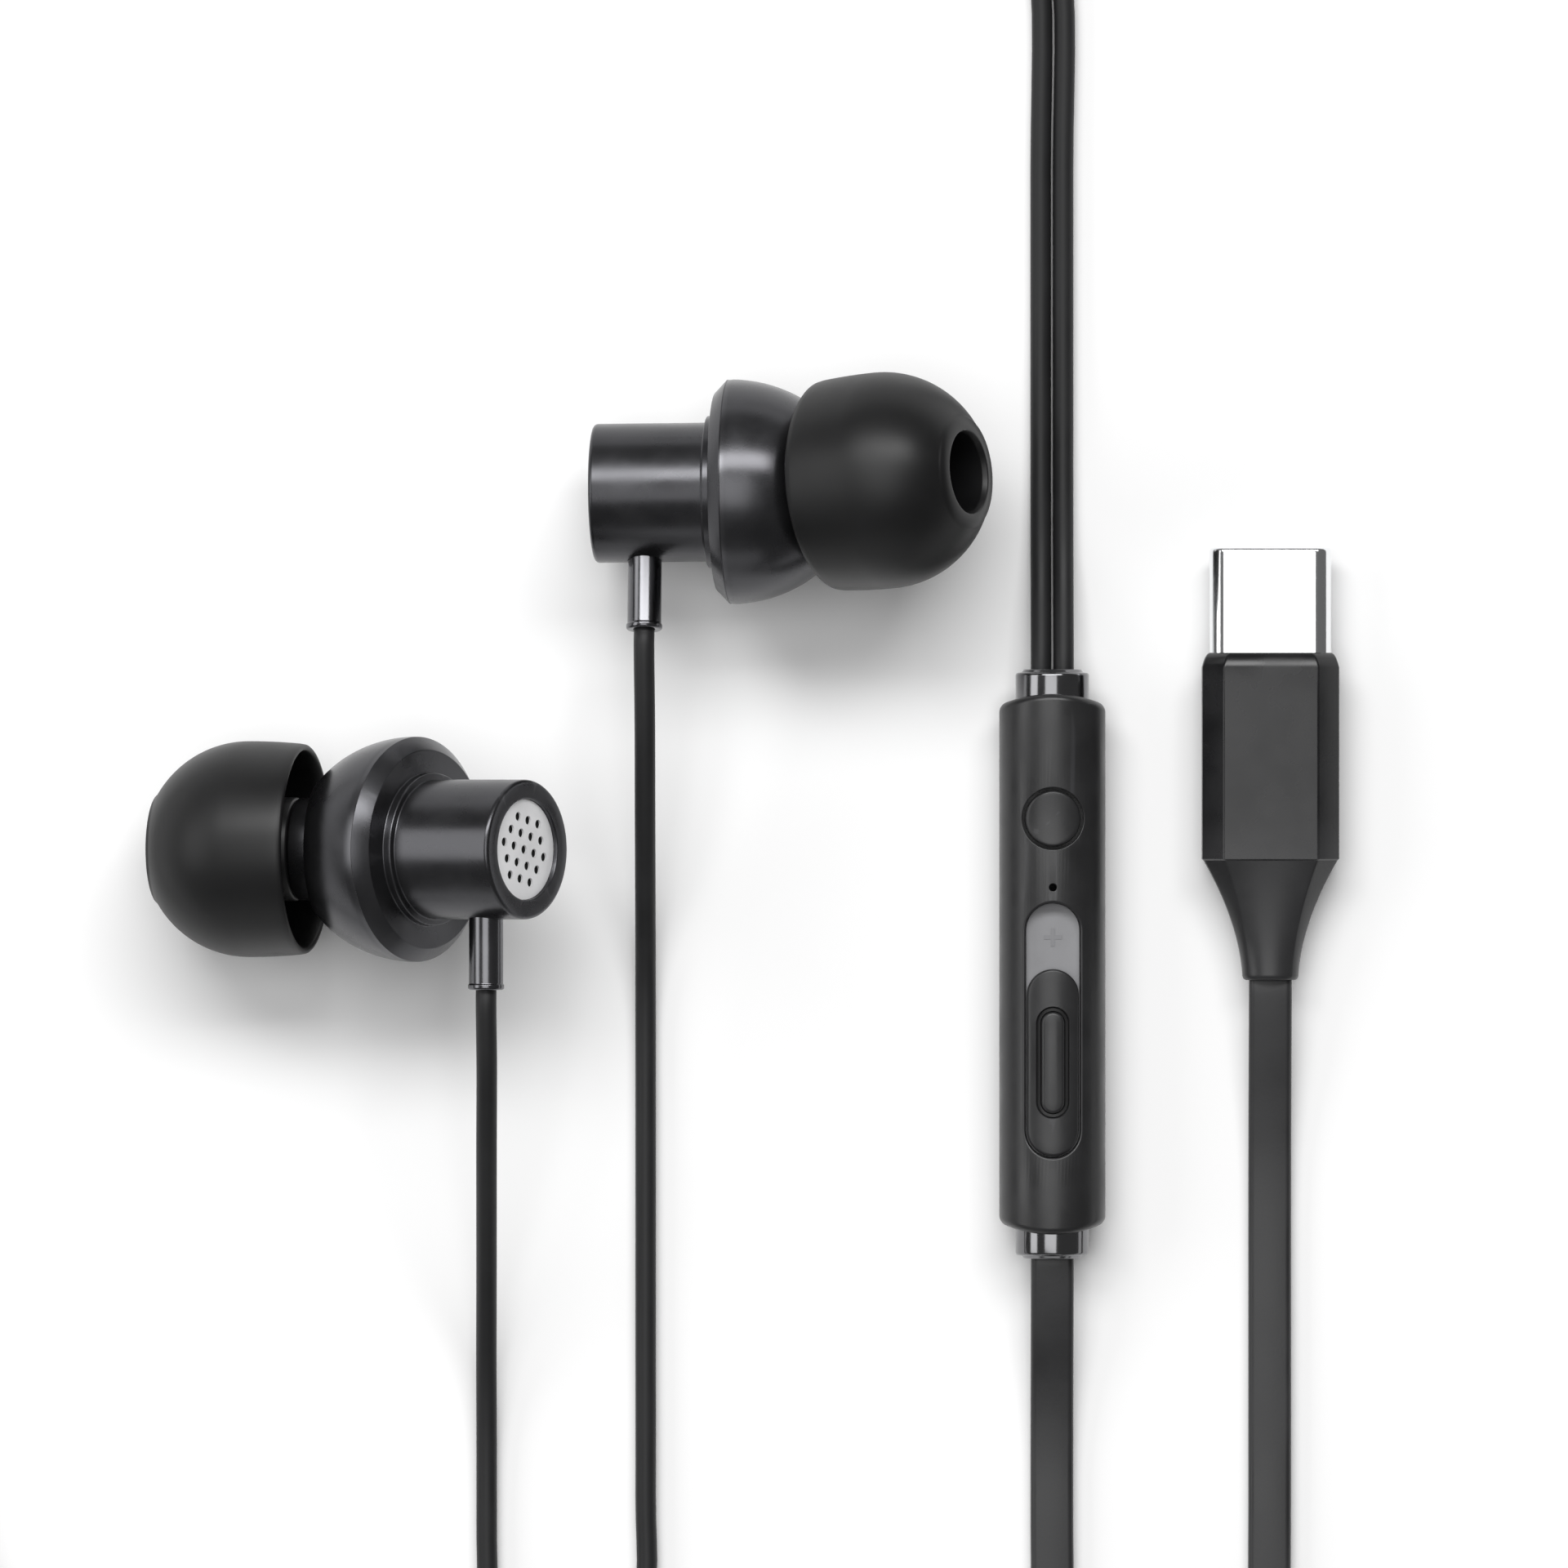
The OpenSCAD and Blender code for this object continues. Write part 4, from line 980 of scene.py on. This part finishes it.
def bar_section(width, thick, corner, radius, x=plug_x, z=plug_z):
    """A bevelled bar's outline, with its edges rounded."""
    w, t, c = width / 2, thick / 2, corner
    points = [
        (w, t - c), (w - c, t), (c - w, t), (-w, t - c),
        (-w, c - t), (c - w, -t), (w - c, -t), (w, c - t),
    ]
    return [(x + px, z + pz) for px, pz in rounded(points, radius, 5)]


def round_section_of(width, thick, inset=0):
    return [(plug_x + x, plug_z + z) for z, x in slot_outline(thick, width, inset, 24)]


def at_y(section, y):
    return [(x, y, z) for x, z in section]


def make_plug_shell():
    wall = 0.3
    outside = round_section_of(shell_w, shell_t)
    loops = [at_y(outside, shell_back), at_y(outside, shell_front - wall)]
    for k in range(1, 9):
        a = math.pi * k / 8
        inset = wall / 2 * (1 - math.cos(a))
        loops.append(at_y(round_section_of(shell_w, shell_t, inset), shell_front - wall + wall * math.sin(a)))
    loops.append(at_y(round_section_of(shell_w, shell_t, wall), shell_back))
    settle(stack("plug_sleeve", loops, ring=True), plug_metal, "plug_shell")


def make_plug_body():
    corner = 1.45
    round_edge = 0.28

    def section(inset):
        return bar_section(body_w - 2 * inset, body_t - 2 * inset, corner - 0.2 * inset, round_edge)

    loops = [at_y(section(0.12), body_back), at_y(section(0), body_back + 0.12)]
    loops += [at_y(section(0), y) for y in (body_back + 4, body_back + 9, body_front - 1)]
    for inset, dy in ((0.08, 0.3), (0.2, 0.65), (0.34, 0.88), (0.5, 1.0)):
        loops.append(at_y(section(inset), body_front - 1 + dy))
    body = stack("plug_case_body", loops)
    slot = round_section_of(shell_w + 0.06, shell_t + 0.06)
    combine(body, stack("slot", [at_y(slot, shell_back - 0.03), at_y(slot, body_front + 1)]))
    hollow = bar_section(body_w - 1.3, body_t - 1.3, 1.1, 0.1)
    combine(body, stack("hollow", [at_y(hollow, body_back - 1), at_y(hollow, shell_back)]))
    settle(body, plug_case, "plug_body", sharp_angle=30)


def filled_in(outline, spacing=0.25):
    """The same closed outline, with more points along its straight sides."""
    out = []
    for a, b in zip(outline, outline[1:] + outline[:1]):
        count = max(1, round(math.dist(a, b) / spacing))
        out += [(a[0] + (b[0] - a[0]) * k / count, a[1] + (b[1] - a[1]) * k / count) for k in range(count)]
    return out


def make_plug_boot():
    """The flared boot: the body's bevelled section falls away to a small oval where the cord leaves."""
    wide = filled_in(bar_section(body_w - 0.24, body_t - 0.24, 1.42, 0.28, 0, 0))
    length = body_back - boot_end
    end_a, end_b, squareness = boot_w / 2, 1.6, 2.15

    def narrow(x, z):
        a = math.atan2(z, x)
        near = abs(math.cos(a) / end_a) ** squareness + abs(math.sin(a) / end_b) ** squareness
        r = near ** (-1 / squareness)
        return r * math.cos(a), r * math.sin(a)

    def ring(u, inset=0.0):
        f = (1 - u) ** 1.75
        points = []
        for p in wide:
            q = narrow(*p)
            x, z = f * p[0] + (1 - f) * q[0], f * p[1] + (1 - f) * q[1]
            keep = 1 - inset / math.hypot(x, z)
            points.append((plug_x + x * keep, body_back - length * u, plug_z + z * keep))
        return points

    loops = [ring(k / 40) for k in range(39)]
    loops += [ring(0.965), ring(0.985, 0.05), ring(0.996, 0.14), ring(1.0, 0.28)]
    settle(stack("plug_strain_relief", loops), boot_plastic, "plug_boot", sharp_angle=30)


def make_cord_tie():
    """The strap round the coil, with rounded corners and edges."""
    low, high = [Vector(corner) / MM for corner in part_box("cord_tie")]
    thick = 0.4

    def band(inset, radius, x):
        size = high - low
        middle = (low + high) / 2
        outline = oblong(size.y - 2 * inset, size.z - 2 * inset, radius)
        return [(x, middle.y + y, middle.z + z) for y, z in outline]

    edge, outer_r, inner_r = 0.1, 0.9, 0.5
    loops = [band(edge, outer_r, low.x), band(0, outer_r, low.x + edge)]
    loops += [band(0, outer_r, high.x - edge), band(edge, outer_r, high.x)]
    loops += [band(thick, inner_r, high.x), band(thick, inner_r, low.x)]
    return settle(stack("cord_strap", loops, ring=True), tie_strap, "cord_tie")


make_plug_shell()
make_plug_body()
make_plug_boot()
strap = make_cord_tie()


# ---------- Finishes of the CAD pieces that show as they are ----------
def dress_cad_nodes():
    """Gives every CAD piece that shows the finish of its slot. The microphone shows only its dark port."""
    for name, obj in frame["nodes"].items():
        if obj.hide_render:
            continue
        obj.data.materials.clear()
        obj.data.materials.append(dark_mesh if name == "microphone" else finishes[slot_of[name]])


dress_cad_nodes()


# ---------- Floor and light ----------
def make_floor():
    half = 3.0
    mesh = bpy.data.meshes.new("floor")
    corners = [(-half, -half, 0), (half, -half, 0), (half, half, 0), (-half, half, 0)]
    mesh.from_pydata(corners, [], [(0, 1, 2, 3)])
    floor = bpy.data.objects.new("floor", mesh)
    scene.collection.objects.link(floor)
    material = bpy.data.materials.new("pale_floor")
    material.use_nodes = True
    shader = material.node_tree.nodes["Principled BSDF"]
    shader.inputs["Base Color"].default_value = (0.97, 0.97, 0.97, 1)
    shader.inputs["Roughness"].default_value = 0.8
    shader.inputs["Specular IOR Level"].default_value = 0.1
    mesh.materials.append(material)


def softbox(name, lean, bearing, distance, size, radiance):
    """A softbox that faces the set, lean degrees off the vertical, on a bearing from +X towards +Y."""
    aim = Vector((view_centre[0] * MM, view_centre[1] * MM, 0))
    lean, bearing = math.radians(lean), math.radians(bearing)
    toward = Vector((math.sin(lean) * math.cos(bearing), math.sin(lean) * math.sin(bearing), math.cos(lean)))
    data = bpy.data.lights.new(name, "AREA")
    data.shape = "RECTANGLE"
    data.size, data.size_y = size
    data.energy = radiance * math.pi * size[0] * size[1]
    light = bpy.data.objects.new(name, data)
    light.location = aim + toward * distance
    light.rotation_mode = "QUATERNION"
    light.rotation_quaternion = (-toward).to_track_quat("-Z", "Y")
    light.visible_camera = False
    scene.collection.objects.link(light)


def make_lights():
    world = bpy.data.worlds.new("studio")
    world.use_nodes = True
    world.node_tree.nodes["Background"].inputs["Color"].default_value = (1, 1, 1, 1)
    world.node_tree.nodes["Background"].inputs["Strength"].default_value = 0.13
    scene.world = world
    softbox("overhead", 5, 175, 1.7, (0.9, 1.1), 2.3)
    softbox("band", 33, 92, 1.2, (1.3, 0.36), 8.6)
    softbox("left", 60, 172, 1.2, (0.9, 0.5), 2.5)
    softbox("fill", 74, -95, 1.3, (1.1, 0.4), 0.7)


make_floor()
make_lights()
scene.view_settings.view_transform = "Standard"
